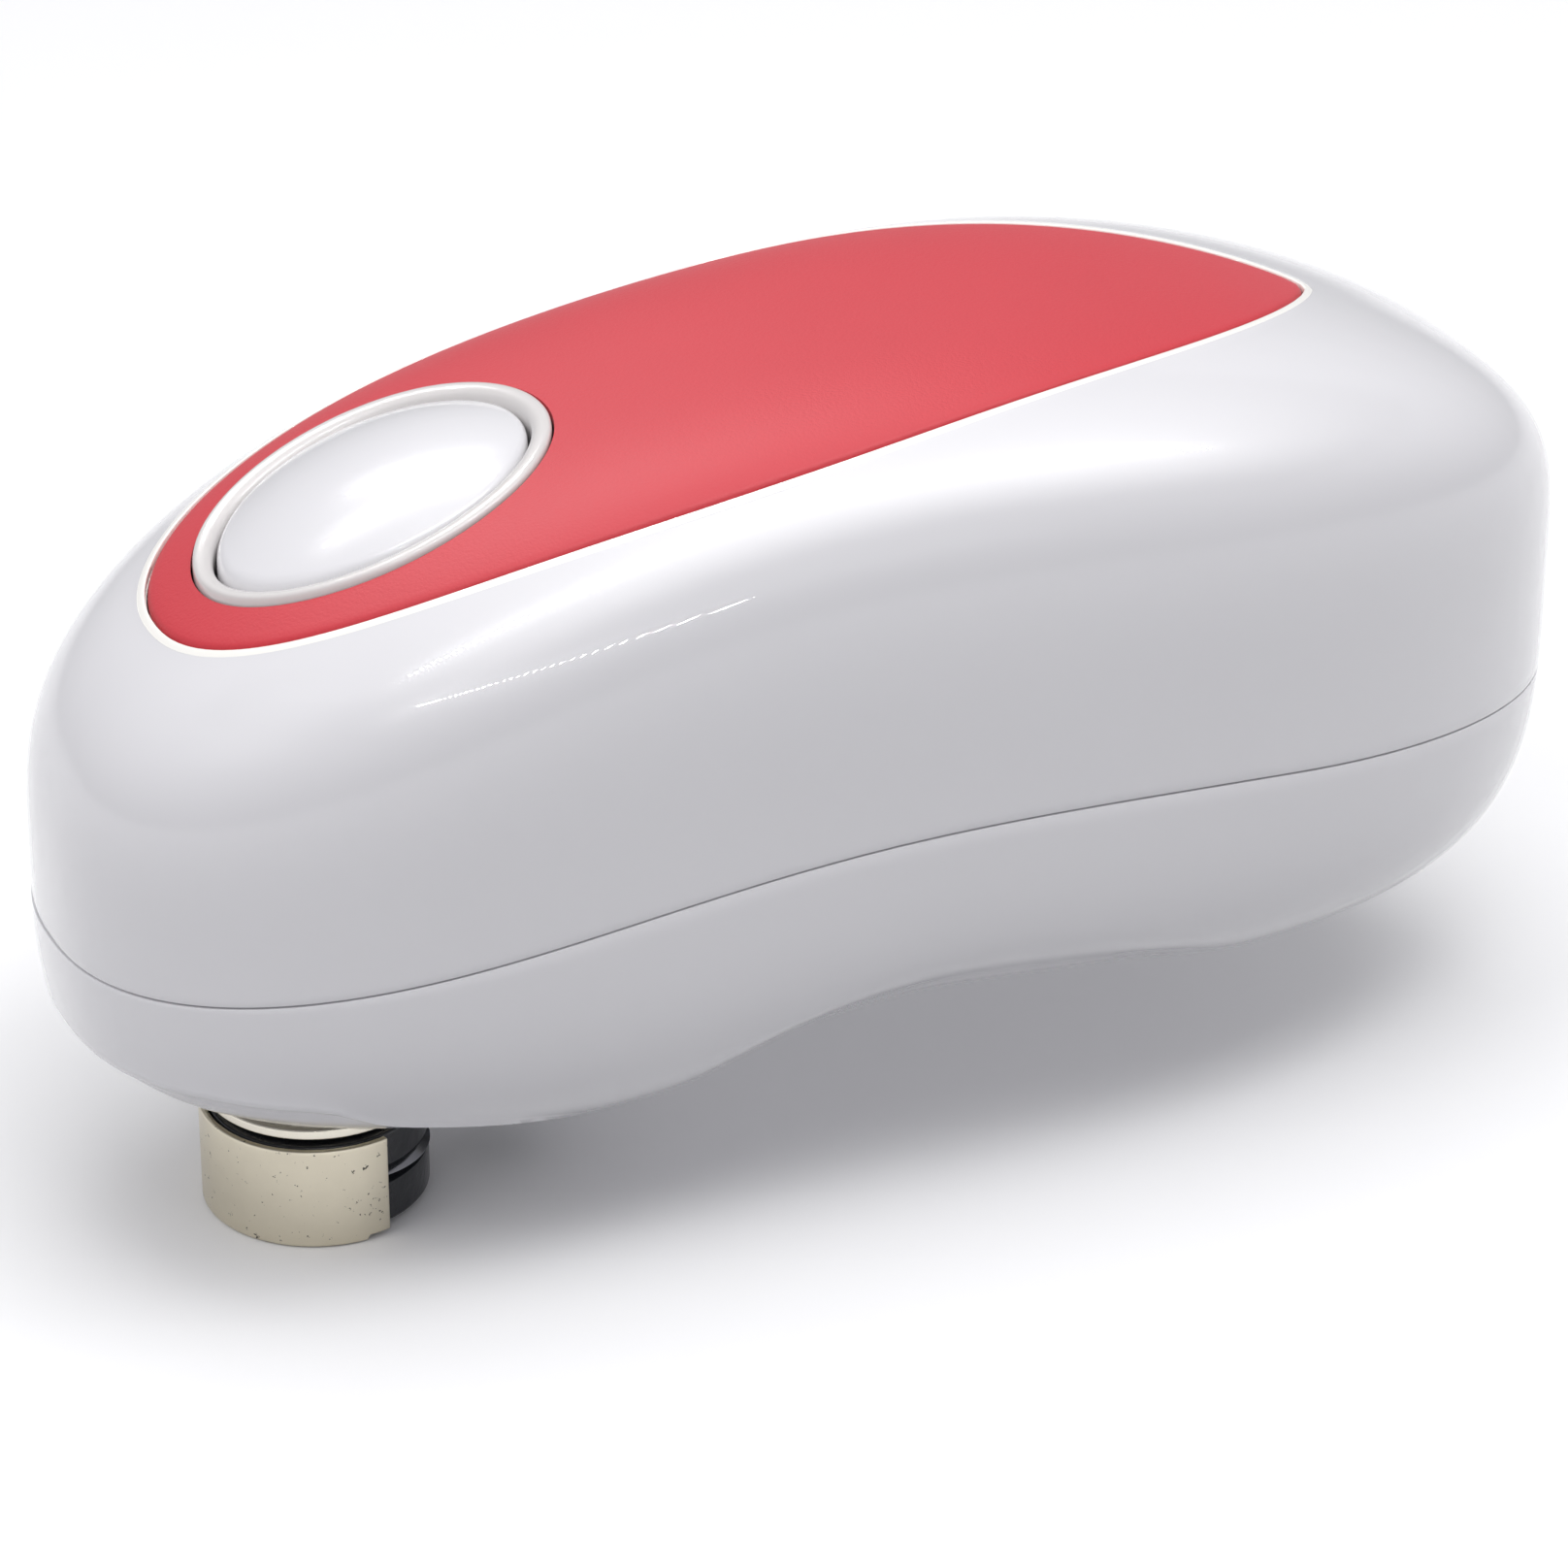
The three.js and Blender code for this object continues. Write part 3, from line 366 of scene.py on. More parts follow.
# The rim round the panel: distance out from the panel's edge, height over the crown.
RIM_STEPS = [
    (2.4, 0.005), (1.9, 0.02), (1.5, 0.045), (1.2, 0.08), (0.95, 0.11), (0.72, 0.12),
    (0.52, 0.1), (0.38, 0.04), (0.3, -0.08), (0.3, -1.5),
]
# Faces of the crown within this distance of the panel's edge take a brighter cream paint, a painted
# highlight along the rim.
RIM_HIGHLIGHT_REACH = 1.1
UPPER_COLUMNS = 224
UPPER_ROWS = 54


def upper_place(s, t):
    around = 2 * math.pi * s
    row = round(t * (UPPER_ROWS + len(RIM_STEPS)))
    if row <= UPPER_ROWS:
        low = seam_climb(around, SEAM_GAP / 2)
        high = panel_climb(around, 3.0)
        return section_point(around, mix(low, high, row / UPPER_ROWS))
    margin, rise = RIM_STEPS[row - UPPER_ROWS - 1]
    point = section_point(around, panel_climb(around, margin))
    point.z += rise
    return point


upper_bm = formed_sheet(UPPER_COLUMNS, UPPER_ROWS + len(RIM_STEPS), upper_place)
upper = link("upper_shell", upper_bm)


def thicken(piece, depth, bevel=0.3):
    """Gives a skin its wall, inwards, and rounds the wall's edges."""
    wall = piece.modifiers.new("wall", "SOLIDIFY")
    wall.thickness = depth * MM
    wall.offset = -1
    edge = piece.modifiers.new("edge", "BEVEL")
    edge.width = bevel * MM
    edge.segments = 2
    edge.limit_method = "ANGLE"
    edge.angle_limit = math.radians(50)


def applied(piece):
    """Turns a piece's modifiers into its mesh."""
    shaped = piece.evaluated_get(bpy.context.evaluated_depsgraph_get())
    mesh = bpy.data.meshes.new_from_object(shaped)
    piece.modifiers.clear()
    piece.data = mesh
    return piece


thicken(upper, 1.0, 0.2)
applied(upper)


def grouped(name, inputs, outputs):
    """A shader node group with named sockets, each input given as name: (kind, default)."""
    group = bpy.data.node_groups.new(name, "ShaderNodeTree")
    for label, (kind, value) in inputs.items():
        made = group.interface.new_socket(label, in_out="INPUT", socket_type="NodeSocket" + kind)
        made.default_value = value
    for label, kind in outputs.items():
        group.interface.new_socket(label, in_out="OUTPUT", socket_type="NodeSocket" + kind)
    source = group.nodes.new("NodeGroupInput")
    sink = group.nodes.new("NodeGroupOutput")
    return group, source, sink


def noise_in(group, scale, detail, coordinates, roughness=0.5):
    node = group.nodes.new("ShaderNodeTexNoise")
    node.inputs["Detail"].default_value = detail
    node.inputs["Roughness"].default_value = roughness
    group.links.new(coordinates, node.inputs["Vector"])
    if isinstance(scale, (int, float)):
        node.inputs["Scale"].default_value = scale
    else:
        group.links.new(scale, node.inputs["Scale"])
    return node


def math_in(group, operation, *values):
    node = group.nodes.new("ShaderNodeMath")
    node.operation = operation
    for slot, value in enumerate(values):
        if isinstance(value, (int, float)):
            node.inputs[slot].default_value = value
        else:
            group.links.new(value, node.inputs[slot])
    return node.outputs[0]


def make_moulded_group():
    """Moulded plastic: faint cloudiness, a slightly uneven gloss and a fine surface ripple."""
    group, source, sink = grouped(
        "moulded_surface",
        {
            "Color": ("Color", (0.8, 0.8, 0.8, 1)),
            "Shade": ("Color", (0.7, 0.7, 0.7, 1)),
            "Roughness": ("Float", 0.2),
            "Spread": ("Float", 0.05),
            "Grain": ("Float", 900.0),
            "Depth": ("Float", 0.1),
        },
        {"Color": "Color", "Roughness": "Float", "Normal": "Vector"},
    )
    place = group.nodes.new("ShaderNodeTexCoord").outputs["Object"]
    cloud = noise_in(group, 35, 3, place)
    speck = noise_in(group, source.outputs["Grain"], 4, place, 0.6)
    tint = group.nodes.new("ShaderNodeMix")
    tint.data_type = "RGBA"
    group.links.new(cloud.outputs["Fac"], tint.inputs["Factor"])
    group.links.new(source.outputs["Color"], tint.inputs[6])
    group.links.new(source.outputs["Shade"], tint.inputs[7])
    centred = math_in(group, "SUBTRACT", speck.outputs["Fac"], 0.5)
    uneven = math_in(group, "MULTIPLY", centred, source.outputs["Spread"])
    gloss = math_in(group, "ADD", source.outputs["Roughness"], uneven)
    bump = group.nodes.new("ShaderNodeBump")
    bump.inputs["Distance"].default_value = 0.0002
    group.links.new(source.outputs["Depth"], bump.inputs["Strength"])
    group.links.new(speck.outputs["Fac"], bump.inputs["Height"])
    group.links.new(tint.outputs[2], sink.inputs["Color"])
    group.links.new(gloss, sink.inputs["Roughness"])
    group.links.new(bump.outputs["Normal"], sink.inputs["Normal"])
    return group


MOULDED = make_moulded_group()


def surfaced(name, group, values, plain=None):
    """A material whose Principled shader is fed by a group; plain values go on its own sockets."""
    material, shader, add, join = new_material(name)
    node = add("ShaderNodeGroup", node_tree=group)
    for label, value in values.items():
        node.inputs[label].default_value = value
    for label, value in (plain or {}).items():
        shader.inputs[label].default_value = value
    for output, label in (("Color", "Base Color"), ("Roughness", "Roughness"), ("Normal", "Normal")):
        join(node.outputs[output], shader.inputs[label])
    return material


white_gloss = surfaced(
    "white_gloss_abs", MOULDED,
    {
        "Color": (0.77, 0.762, 0.785, 1),
        "Shade": (0.75, 0.742, 0.765, 1),
        "Roughness": 0.24,
        "Spread": 0.05,
        "Grain": 260.0,
        "Depth": 0.015,
    },
    {"Coat Weight": 1.0, "Coat Roughness": 0.008, "IOR": 1.5},
)
# A brighter, cream copy of the case's white plastic that paints the rim's highlight round the panel.
rim_highlight_paint = surfaced(
    "rim_painted_highlight", MOULDED,
    {
        "Color": (0.93, 0.915, 0.87, 1),
        "Shade": (0.90, 0.885, 0.84, 1),
        "Roughness": 0.3,
        "Spread": 0.05,
        "Grain": 260.0,
        "Depth": 0.015,
    },
    {"Coat Weight": 0.4, "Coat Roughness": 0.08},
)


def finish_piece(piece, body, material, replaces=()):
    piece.data.materials.clear()
    piece.data.materials.append(material)
    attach(piece, body)
    if replaces:
        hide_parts(*replaces)


finish_piece(upper, "housing", white_gloss, ["upper_housing"])
# The crown's faces next to the panel's edge take the brighter paint: a painted highlight on the rim, not a
# different plastic.
upper.data.materials.append(rim_highlight_paint)
for face in upper.data.polygons:
    middle = face.center / MM
    if middle.z > 60 and panel_edge(middle.x, middle.y) < RIM_HIGHLIGHT_REACH:
        face.material_index = 1

# ---- Button collar --------------------------------------------------------------------------
# An oval wall moulded in one with the upper case. It guides the start button and stands up
# through the grip panel as a narrow white ring with a rounded top.

BUTTON_X = -52.8
COLLAR_X = 20.2
COLLAR_Y = 16.9


def crown_height(x, y):
    """Height of the case's crown over a point in plan."""
    u = x - WIDEST_X
    across = y / waist_scale(u)
    power = NOSE_POWER if u < 0 else TAIL_POWER
    length = NOSE_LENGTH if u < 0 else TAIL_LENGTH
    ratio = ((abs(u) / length) ** power + (abs(across) / HALF_WIDTH) ** power) ** (1 / power)
    lift = max(0.0, 1 - ratio ** CROWN_POWER) ** (1 / CROWN_POWER)
    return bulge_height(u) + crown_rise(u) * lift


def oval(angle, shrink):
    """A point of the collar's oval, drawn in by a distance."""
    return (
        BUTTON_X + (COLLAR_X - shrink) * math.cos(angle),
        (COLLAR_Y - shrink) * math.sin(angle),
    )


# Section of the ring: distance in from its outer face, height over the crown.
RING_SECTION = [
    (0.0, -9), (0.0, -0.1), (0.08, 0.28), (0.3, 0.52), (0.65, 0.62), (1.15, 0.6),
    (1.6, 0.48), (1.95, 0.22), (2.18, -0.15), (2.3, -0.6), (2.3, -9), (0.0, -9),
]


def ring_place(s, t):
    angle = 2 * math.pi * s
    shrink, height = RING_SECTION[round(t * (len(RING_SECTION) - 1))]
    x, y = oval(angle, shrink)
    edge_x, edge_y = oval(angle, 1.0)
    return Vector((x, y, crown_height(edge_x, edge_y) + height))


collar = link("button_collar", formed_sheet(128, len(RING_SECTION) - 1, ring_place))
collar_white = surfaced(
    "collar_white_abs", MOULDED,
    {
        "Color": (0.70, 0.675, 0.665, 1),
        "Shade": (0.67, 0.645, 0.635, 1),
        "Roughness": 0.26,
        "Spread": 0.05,
        "Grain": 260.0,
        "Depth": 0.015,
    },
    {"Coat Weight": 0.6, "Coat Roughness": 0.03},
)
finish_piece(collar, "housing", collar_white, ["upper_housing"])

# ---- Grip panel -----------------------------------------------------------------------------
# A thin inlay of soft-touch rubber, glued into the recess on the crown. Its edge is rolled
# down to the recess, and an oval hole lets the button's collar through.

EDGE_ROLL = 0.5
PANEL_COLUMNS = 224
PANEL_ROWS = 60
PANEL_WALL = 1.0
SHARP_ANGLE = math.radians(38)


def panel_place(s, t):
    around = 2 * math.pi * s
    share = t ** 0.8
    angle = math.pi / 2 * panel_climb(around, -EDGE_ROLL) ** 1.5
    reach = math.cos(angle) ** (2 / CROWN_POWER)
    return case_point(around, reach * share)


EDGE_STEPS = [(-0.3, -0.06), (-0.15, -0.2), (-0.05, -0.42), (0.0, -0.75), (0.0, -1.2)]


def panel_full_place(s, t):
    row = round(t * (PANEL_ROWS + len(EDGE_STEPS)))
    if row <= PANEL_ROWS:
        return panel_place(s, row / PANEL_ROWS)
    margin, drop = EDGE_STEPS[row - PANEL_ROWS - 1]
    point = section_point(2 * math.pi * s, panel_climb(2 * math.pi * s, margin))
    point.z += drop
    return point


panel = link("grip_panel_skin", formed_sheet(PANEL_COLUMNS, PANEL_ROWS + len(EDGE_STEPS), panel_full_place))
wall = panel.modifiers.new("wall", "SOLIDIFY")
wall.thickness = PANEL_WALL * MM
wall.offset = -1
applied(panel)


def oval_cutter(shrink, low, high):
    bm = bmesh.new()
    bmesh.ops.create_circle(bm, cap_ends=True, segments=128, radius=1)
    for vert in bm.verts:
        angle = math.atan2(vert.co.y, vert.co.x)
        x, y = oval(angle, shrink)
        vert.co = Vector((x, y, low)) * MM
    raised = bmesh.ops.extrude_face_region(bm, geom=bm.faces[:])
    up = [item for item in raised["geom"] if isinstance(item, bmesh.types.BMVert)]
    bmesh.ops.translate(bm, verts=up, vec=(0, 0, (high - low) * MM))
    bmesh.ops.recalc_face_normals(bm, faces=bm.faces)
    return link("cutter", bm)


def cut(piece, cutter):
    """Cuts one object out of another and removes the cutter."""
    knife = piece.modifiers.new("cut", "BOOLEAN")
    knife.operation = "DIFFERENCE"
    knife.solver = "EXACT"
    knife.object = cutter
    applied(piece)
    piece.data.set_sharp_from_angle(angle=SHARP_ANGLE)
    bpy.data.objects.remove(cutter)


cut(panel, oval_cutter(-0.25, 50, 120))

red_soft = surfaced(
    "red_soft_touch", MOULDED,
    {
        "Color": (0.60, 0.038, 0.054, 1),
        "Shade": (0.555, 0.034, 0.048, 1),
        "Roughness": 0.5,
        "Spread": 0.12,
        "Grain": 2600.0,
        "Depth": 0.25,
    },
    {"Sheen Weight": 0.1, "Sheen Roughness": 0.4, "IOR": 1.45},
)
finish_piece(panel, "housing", red_soft, ["grip_panel"])

# ---- Start button ---------------------------------------------------------------------------
# A domed oval cap in the same glossy white, 1.8 mm thick and square to the sloping crown. It
# slides down inside the collar on its spring.

BUTTON_SHRINK = 2.65
BUTTON_WALL = 1.8
DOME_HALF = {"along": 30.5, "across": 25.7, "height": 20}
DOME_REACH = 0.965
DOME_RISE = 2.6
DOME_TILT = math.radians(18.5)
button_base = crown_height(BUTTON_X, 0)

# Share of the way out from the middle, and drop at the rim, of the cap's rounded shoulder.
SHOULDER = [(0.985, 0.25), (0.996, 0.65), (1.0, 1.2), (1.0, 6), (1.0, 9)]
DOME_ROWS = 40


def dome_height(x, y):
    """Height of the cap's dome, an ellipsoid square to the slope of the crown."""
    along = (x - BUTTON_X) / math.cos(DOME_TILT)
    flat = 1 - (along / DOME_HALF["along"]) ** 2 - (y / DOME_HALF["across"]) ** 2
    fall = DOME_HALF["height"] - DOME_HALF["height"] * math.sqrt(max(0.0, flat))
    return button_base + DOME_RISE + (x - BUTTON_X) * math.tan(DOME_TILT) - fall


def button_place(s, t):
    angle = 2 * math.pi * s
    row = round(t * (DOME_ROWS + len(SHOULDER)))
    share, drop = DOME_REACH * row / DOME_ROWS, 0.0
    if row > DOME_ROWS:
        share, drop = SHOULDER[row - DOME_ROWS - 1]
    edge_x, edge_y = oval(angle, BUTTON_SHRINK)
    x = mix(BUTTON_X, edge_x, share)
    y = edge_y * share
    return Vector((x, y, dome_height(x, y) - drop))


button = link("start_button_cap", formed_sheet(128, DOME_ROWS + len(SHOULDER), button_place))
wall = button.modifiers.new("wall", "SOLIDIFY")
wall.thickness = BUTTON_WALL * MM
wall.offset = -1
applied(button)
finish_piece(button, "button", white_gloss, ["start_button"])

# ---- Lower housing --------------------------------------------------------------------------
# The bottom half of the case in the same white ABS. Its base is holed for the turret, the
# spindle, the battery door and four screws, and steps in round the turret.

LOWER_COLUMNS = 224
LOWER_ROWS = 66
SKIRT_DEPTH = 1.2
SCOOP_DEPTH = 1.5

# Edge of the skirt round the nose: direction round the plan in degrees, share of the way out.
SKIRT_EDGE = [
    (108, 0.74), (114, 0.80), (119, 0.86), (124, 0.90), (128, 0.92), (132, 0.937),
    (134, 0.95), (136, 0.966), (139, 0.973), (145, 0.977), (152, 0.982), (180, 0.988),
]
SKIRT_END_X = -33.0
# Rows of the base's grid: from the seam to the skirt's edge, over it, on to the recess's other
# edge, over that, and in to the middle.
SKIRT_ROWS = (24, 4, 22, 3, 13)
STEP_WIDTH = 0.014


def skirt_share(degrees):
    turns, shares = zip(*SKIRT_EDGE)
    return float(np.interp(degrees, turns, shares))


def climb_of(share):
    """The climb on the base at which section_point has gone in to this share of the way out."""
    return -((math.acos(min(1.0, share ** (BASE_POWER / 2))) / (math.pi / 2)) ** (1 / 1.5))


def base_point(around, climb):
    """A point of the base, drawn in behind the skirt and in the finger scoops."""
    point = section_point(around, climb)
    if climb >= 0:
        return point
    degrees = abs(math.degrees(around))
    share = math.cos(math.pi / 2 * abs(climb) ** 1.5) ** (2 / BASE_POWER)
    behind = smooth((skirt_share(degrees) - share) / STEP_WIDTH) * smooth((degrees - 112) / 12)
    ahead = smooth((SKIRT_END_X - point.x) / 0.8)
    scoop_edge = 0.972 - 0.055 * ((degrees - 84) / 16) ** 2
    below = smooth((scoop_edge - share) / 0.09) * (1 - smooth((scoop_edge - 0.2 - share) / 0.5))
    beside = smooth((degrees - 58) / 14) * smooth((106 - degrees) / 12)
    above = math.exp(-max(0.0, share - skirt_share(degrees)) / 0.008) * smooth((degrees - 112) / 12)
    depth = SKIRT_DEPTH * behind * ahead - 0.5 * above * ahead + SCOOP_DEPTH * below * beside
    middle = Vector((mix(point.x, WIDEST_X, 0.3), 0, bulge_height(point.x - WIDEST_X)))
    return point + (middle - point).normalized() * depth


def lower_place(s, t):
    around = 2 * math.pi * (s - 0.5)
    degrees = abs(math.degrees(around))
    top = seam_climb(around, -SEAM_GAP / 2)
    outer = skirt_share(degrees)
    rim_u = rim_point(around)[0]
    inner = (SKIRT_END_X - WIDEST_X) / min(-30.0, rim_u)
    inner = min(inner, outer - 0.05)
    stops = [
        top, climb_of(outer + 0.0005), climb_of(outer - STEP_WIDTH), climb_of(inner + 0.01),
        climb_of(inner), -1,
    ]
    row = round(t * LOWER_ROWS)
    for step, rows in enumerate(SKIRT_ROWS):
        if row <= rows:
            return base_point(around, mix(stops[step], stops[step + 1], row / rows))
        row -= rows


lower = link("lower_shell", formed_sheet(LOWER_COLUMNS, LOWER_ROWS, lower_place))
thicken(lower, WALL, 0.6)
applied(lower)


def rod_cutter(x, y, radius, low, high, segments=64):
    bm = bmesh.new()
    bmesh.ops.create_cone(
        bm, cap_ends=True, segments=segments, radius1=radius * MM, radius2=radius * MM,
        depth=(high - low) * MM,
    )
    bmesh.ops.translate(bm, verts=bm.verts, vec=Vector((x, y, (low + high) / 2)) * MM)
    return link("cutter", bm)


TURRET_X = -62
SPINDLE_X = -39.5
SCREW_PLACES = [(-76, -17), (-76, 17), (76, -17), (76, 17)]
DOOR = {"nose": 7.5, "tail": 68.5, "half": 29.0, "corner": 6.0}


def door_block(grow, low, high):
    """The battery door's outline as an upright block with rounded corners."""
    bm = bmesh.new()
    bmesh.ops.create_grid(bm, x_segments=1, y_segments=1, size=1)
    half_x = (DOOR["tail"] - DOOR["nose"]) / 2 + grow
    middle = (DOOR["tail"] + DOOR["nose"]) / 2
    for vert in bm.verts:
        vert.co = Vector((
            middle + math.copysign(half_x, vert.co.x),
            math.copysign(DOOR["half"] + grow, vert.co.y), low,
        )) * MM
    bmesh.ops.bevel(
        bm, geom=bm.verts[:], offset=DOOR["corner"] * MM, affect="VERTICES", segments=8,
        profile=0.5, material=-1,
    )
    raised = bmesh.ops.extrude_face_region(bm, geom=bm.faces[:])
    up = [item for item in raised["geom"] if isinstance(item, bmesh.types.BMVert)]
    bmesh.ops.translate(bm, verts=up, vec=(0, 0, (high - low) * MM))
    bmesh.ops.recalc_face_normals(bm, faces=bm.faces)
    return link("cutter", bm)


whole_base = lower.copy()
whole_base.data = lower.data.copy()
bpy.context.scene.collection.objects.link(whole_base)
cut(lower, rod_cutter(TURRET_X, 0, 7.3, 5, 40))
cut(lower, rod_cutter(SPINDLE_X, 0, 6, 5, 40))
cut(lower, door_block(0.35, 5, 30))
for x, y in SCREW_PLACES:
    cut(lower, rod_cutter(x, y, 3.4, 5, 34, 32))
finish_piece(lower, "housing", white_gloss, ["lower_housing"])

# ---- Battery door ---------------------------------------------------------------------------
# Cut from the same curved base, in the same white ABS. It swings down about its front edge; the
# hinge itself has no hooks or pins here.

kept = whole_base.modifiers.new("door", "BOOLEAN")
kept.operation = "INTERSECT"
kept.solver = "EXACT"
kept.object = door_block(0, 5, 30)
applied(whole_base)
whole_base.data.set_sharp_from_angle(angle=SHARP_ANGLE)
bpy.data.objects.remove(bpy.data.objects["cutter"])
door = whole_base
door.name = "battery_door_panel"
finish_piece(door, "door", white_gloss, ["battery_door"])

# ---- Turret guard ---------------------------------------------------------------------------
# A rolled strip of nickel-plated steel, 0.7 mm thick, open on the side that faces the drive
# wheel. Its lower edge is nicked up half a millimetre beside the opening.

def make_metal_group():
    """Machined or pressed metal: fine lines across one axis, soft mottling and tiny pits."""
    group, source, sink = grouped(
        "worked_metal",
        {
            "Color": ("Color", (0.6, 0.6, 0.6, 1)),
            "Shade": ("Color", (0.5, 0.5, 0.5, 1)),
            "Roughness": ("Float", 0.3),
            "Spread": ("Float", 0.2),
            "Lines": ("Float", 3000.0),
            "Depth": ("Float", 0.1),
            "Specks": ("Float", 1.0),
        },
        {"Color": "Color", "Roughness": "Float", "Normal": "Vector"},
    )
    place = group.nodes.new("ShaderNodeTexCoord").outputs["Object"]
    stretch = group.nodes.new("ShaderNodeMapping")
    stretch.inputs["Scale"].default_value = (0.04, 0.04, 1)
    group.links.new(place, stretch.inputs["Vector"])
    lines = noise_in(group, source.outputs["Lines"], 2, stretch.outputs["Vector"])
    mottle = noise_in(group, 220, 5, place, 0.6)
    tint = group.nodes.new("ShaderNodeMix")
    tint.data_type = "RGBA"
    group.links.new(mottle.outputs["Fac"], tint.inputs["Factor"])
    group.links.new(source.outputs["Color"], tint.inputs[6])
    group.links.new(source.outputs["Shade"], tint.inputs[7])
    pits = noise_in(group, 1300, 3, place, 0.7)
    pitted = math_in(group, "GREATER_THAN", pits.outputs["Fac"], source.outputs["Specks"])
    dark = group.nodes.new("ShaderNodeMix")
    dark.data_type = "RGBA"
    dark.inputs[7].default_value = (0.12, 0.11, 0.09, 1)
    group.links.new(pitted, dark.inputs["Factor"])
    group.links.new(tint.outputs[2], dark.inputs[6])
    centred = math_in(group, "SUBTRACT", mottle.outputs["Fac"], 0.5)
    uneven = math_in(group, "MULTIPLY", centred, source.outputs["Spread"])
    gloss = math_in(group, "ADD", source.outputs["Roughness"], uneven)
    bump = group.nodes.new("ShaderNodeBump")
    bump.inputs["Distance"].default_value = 0.0001
    group.links.new(source.outputs["Depth"], bump.inputs["Strength"])
    group.links.new(lines.outputs["Fac"], bump.inputs["Height"])
    group.links.new(dark.outputs[2], sink.inputs["Color"])
    group.links.new(gloss, sink.inputs["Roughness"])
    group.links.new(bump.outputs["Normal"], sink.inputs["Normal"])
    return group


METAL = make_metal_group()


def metal(name, colour, shade, roughness, lines=3000.0, depth=0.1, spread=0.2, specks=1.0):
    values = {
        "Color": (*colour, 1), "Shade": (*shade, 1), "Roughness": roughness,
        "Spread": spread, "Lines": lines, "Depth": depth, "Specks": specks,
    }
    return surfaced(name, METAL, values, {"Metallic": 1.0})


def plastic(name, colour, shade, roughness, grain=1500.0, depth=0.15):
    values = {
        "Color": (*colour, 1), "Shade": (*shade, 1), "Roughness": roughness,
        "Spread": 0.15, "Grain": grain, "Depth": depth,
    }
    return surfaced(name, MOULDED, values)


GUARD = {"radius": 13.6, "wall": 0.7, "height": 12.5, "window": 75.0}
NICK = {"degrees": 12.0, "height": 0.5}
GUARD_COLUMNS = 150
GUARD_ROWS = 24


def guard_place(s, t):
    half = 180 - GUARD["window"]
    degrees = 180 + half * (2 * s - 1)
    to_edge = half * (1 - abs(2 * s - 1))
    foot = NICK["height"] * smooth((NICK["degrees"] - to_edge) / 1.2 + 0.5)
    angle = math.radians(degrees)
    x = TURRET_X + GUARD["radius"] * math.cos(angle)
    return Vector((x, GUARD["radius"] * math.sin(angle), mix(foot, GUARD["height"], t)))


guard_bm = formed_sheet(GUARD_COLUMNS, GUARD_ROWS, guard_place)
middle_face = min(guard_bm.faces, key=lambda face: face.calc_center_median().x)
if middle_face.normal.x > 0:
    bmesh.ops.reverse_faces(guard_bm, faces=guard_bm.faces)
guard = link("turret_guard", guard_bm)
thicken(guard, GUARD["wall"], 0.1)
applied(guard)
plated = metal(
    "satin_nickel_plate", (0.73, 0.675, 0.545), (0.66, 0.61, 0.49), 0.36, 2600.0, 0.06, 0.22, 0.67,
)
finish_piece(guard, "turret", plated, ["turret_sleeve"])

# ---- Turret core ----------------------------------------------------------------------------
# A black moulded block inside the guard. A slot across it takes the cutter wheel and a round
# pocket underneath takes the lid magnet.


def rounded(corners, radius, closed=False):
    """A section line (distance out, height) with its corners rounded off."""
    line = []
    count = len(corners)
    for place, corner in enumerate(corners):
        if not closed and place in (0, count - 1):
            line.append(corner)
            continue
        here = Vector(corner)
        back = Vector(corners[place - 1]) - here
        on = Vector(corners[(place + 1) % count]) - here
        trim = min(radius, 0.42 * back.length, 0.42 * on.length)
        back.normalize()
        on.normalize()
        line.append(tuple(here + back * trim * 1.15))
        for step in range(5):
            t = step / 4
            start, end = here + back * trim, here + on * trim
            line.append(tuple(start * (1 - t) ** 2 + here * 2 * t * (1 - t) + end * t * t))
        line.append(tuple(here + on * trim * 1.15))
    if closed:
        line.append(line[0])
    return line


def turned(name, x, y, section, columns=96, reach=None):
    """A round piece on an upright axis; reach(angle, out, up) can shape its outline."""
    def place(s, t):
        out, up = section[round(t * (len(section) - 1))]
        angle = 2 * math.pi * s
        if reach:
            out = reach(angle, out, up)
        return Vector((x + out * math.cos(angle), y + out * math.sin(angle), up))
    return link(name, formed_sheet(columns, len(section) - 1, place))


CUTTER_OFFSET = 3.7
CUTTER_DIRECTION = math.radians(-48)
CUTTER_X = TURRET_X + CUTTER_OFFSET * math.cos(CUTTER_DIRECTION)
CUTTER_Y = CUTTER_OFFSET * math.sin(CUTTER_DIRECTION)
CORE_SECTION = [(0, 0.8), (12.6, 0.8), (12.6, 12.5), (0, 12.5)]

core = turned("turret_block", TURRET_X, 0, rounded(CORE_SECTION, 0.35), 128)
cut(core, rod_cutter(CUTTER_X, CUTTER_Y, 9.9, 5.8, 8.2, 128))
cut(core, rod_cutter(CUTTER_X, CUTTER_Y, 2.3, 3.8, 10.9, 48))
cut(core, rod_cutter(TURRET_X, 0, 7.3, -1, 3.1, 96))
glass_black = plastic("black_moulding", (0.013, 0.014, 0.017), (0.022, 0.024, 0.028), 0.24, 420.0, 0.5)
finish_piece(core, "turret", glass_black, ["turret_core"])

# ---- Turret head and shaft ------------------------------------------------------------------
# One turned and plated piece: a flange over a narrower neck, a hub in the case's bush, and the
# long shaft that carries the friction drum.

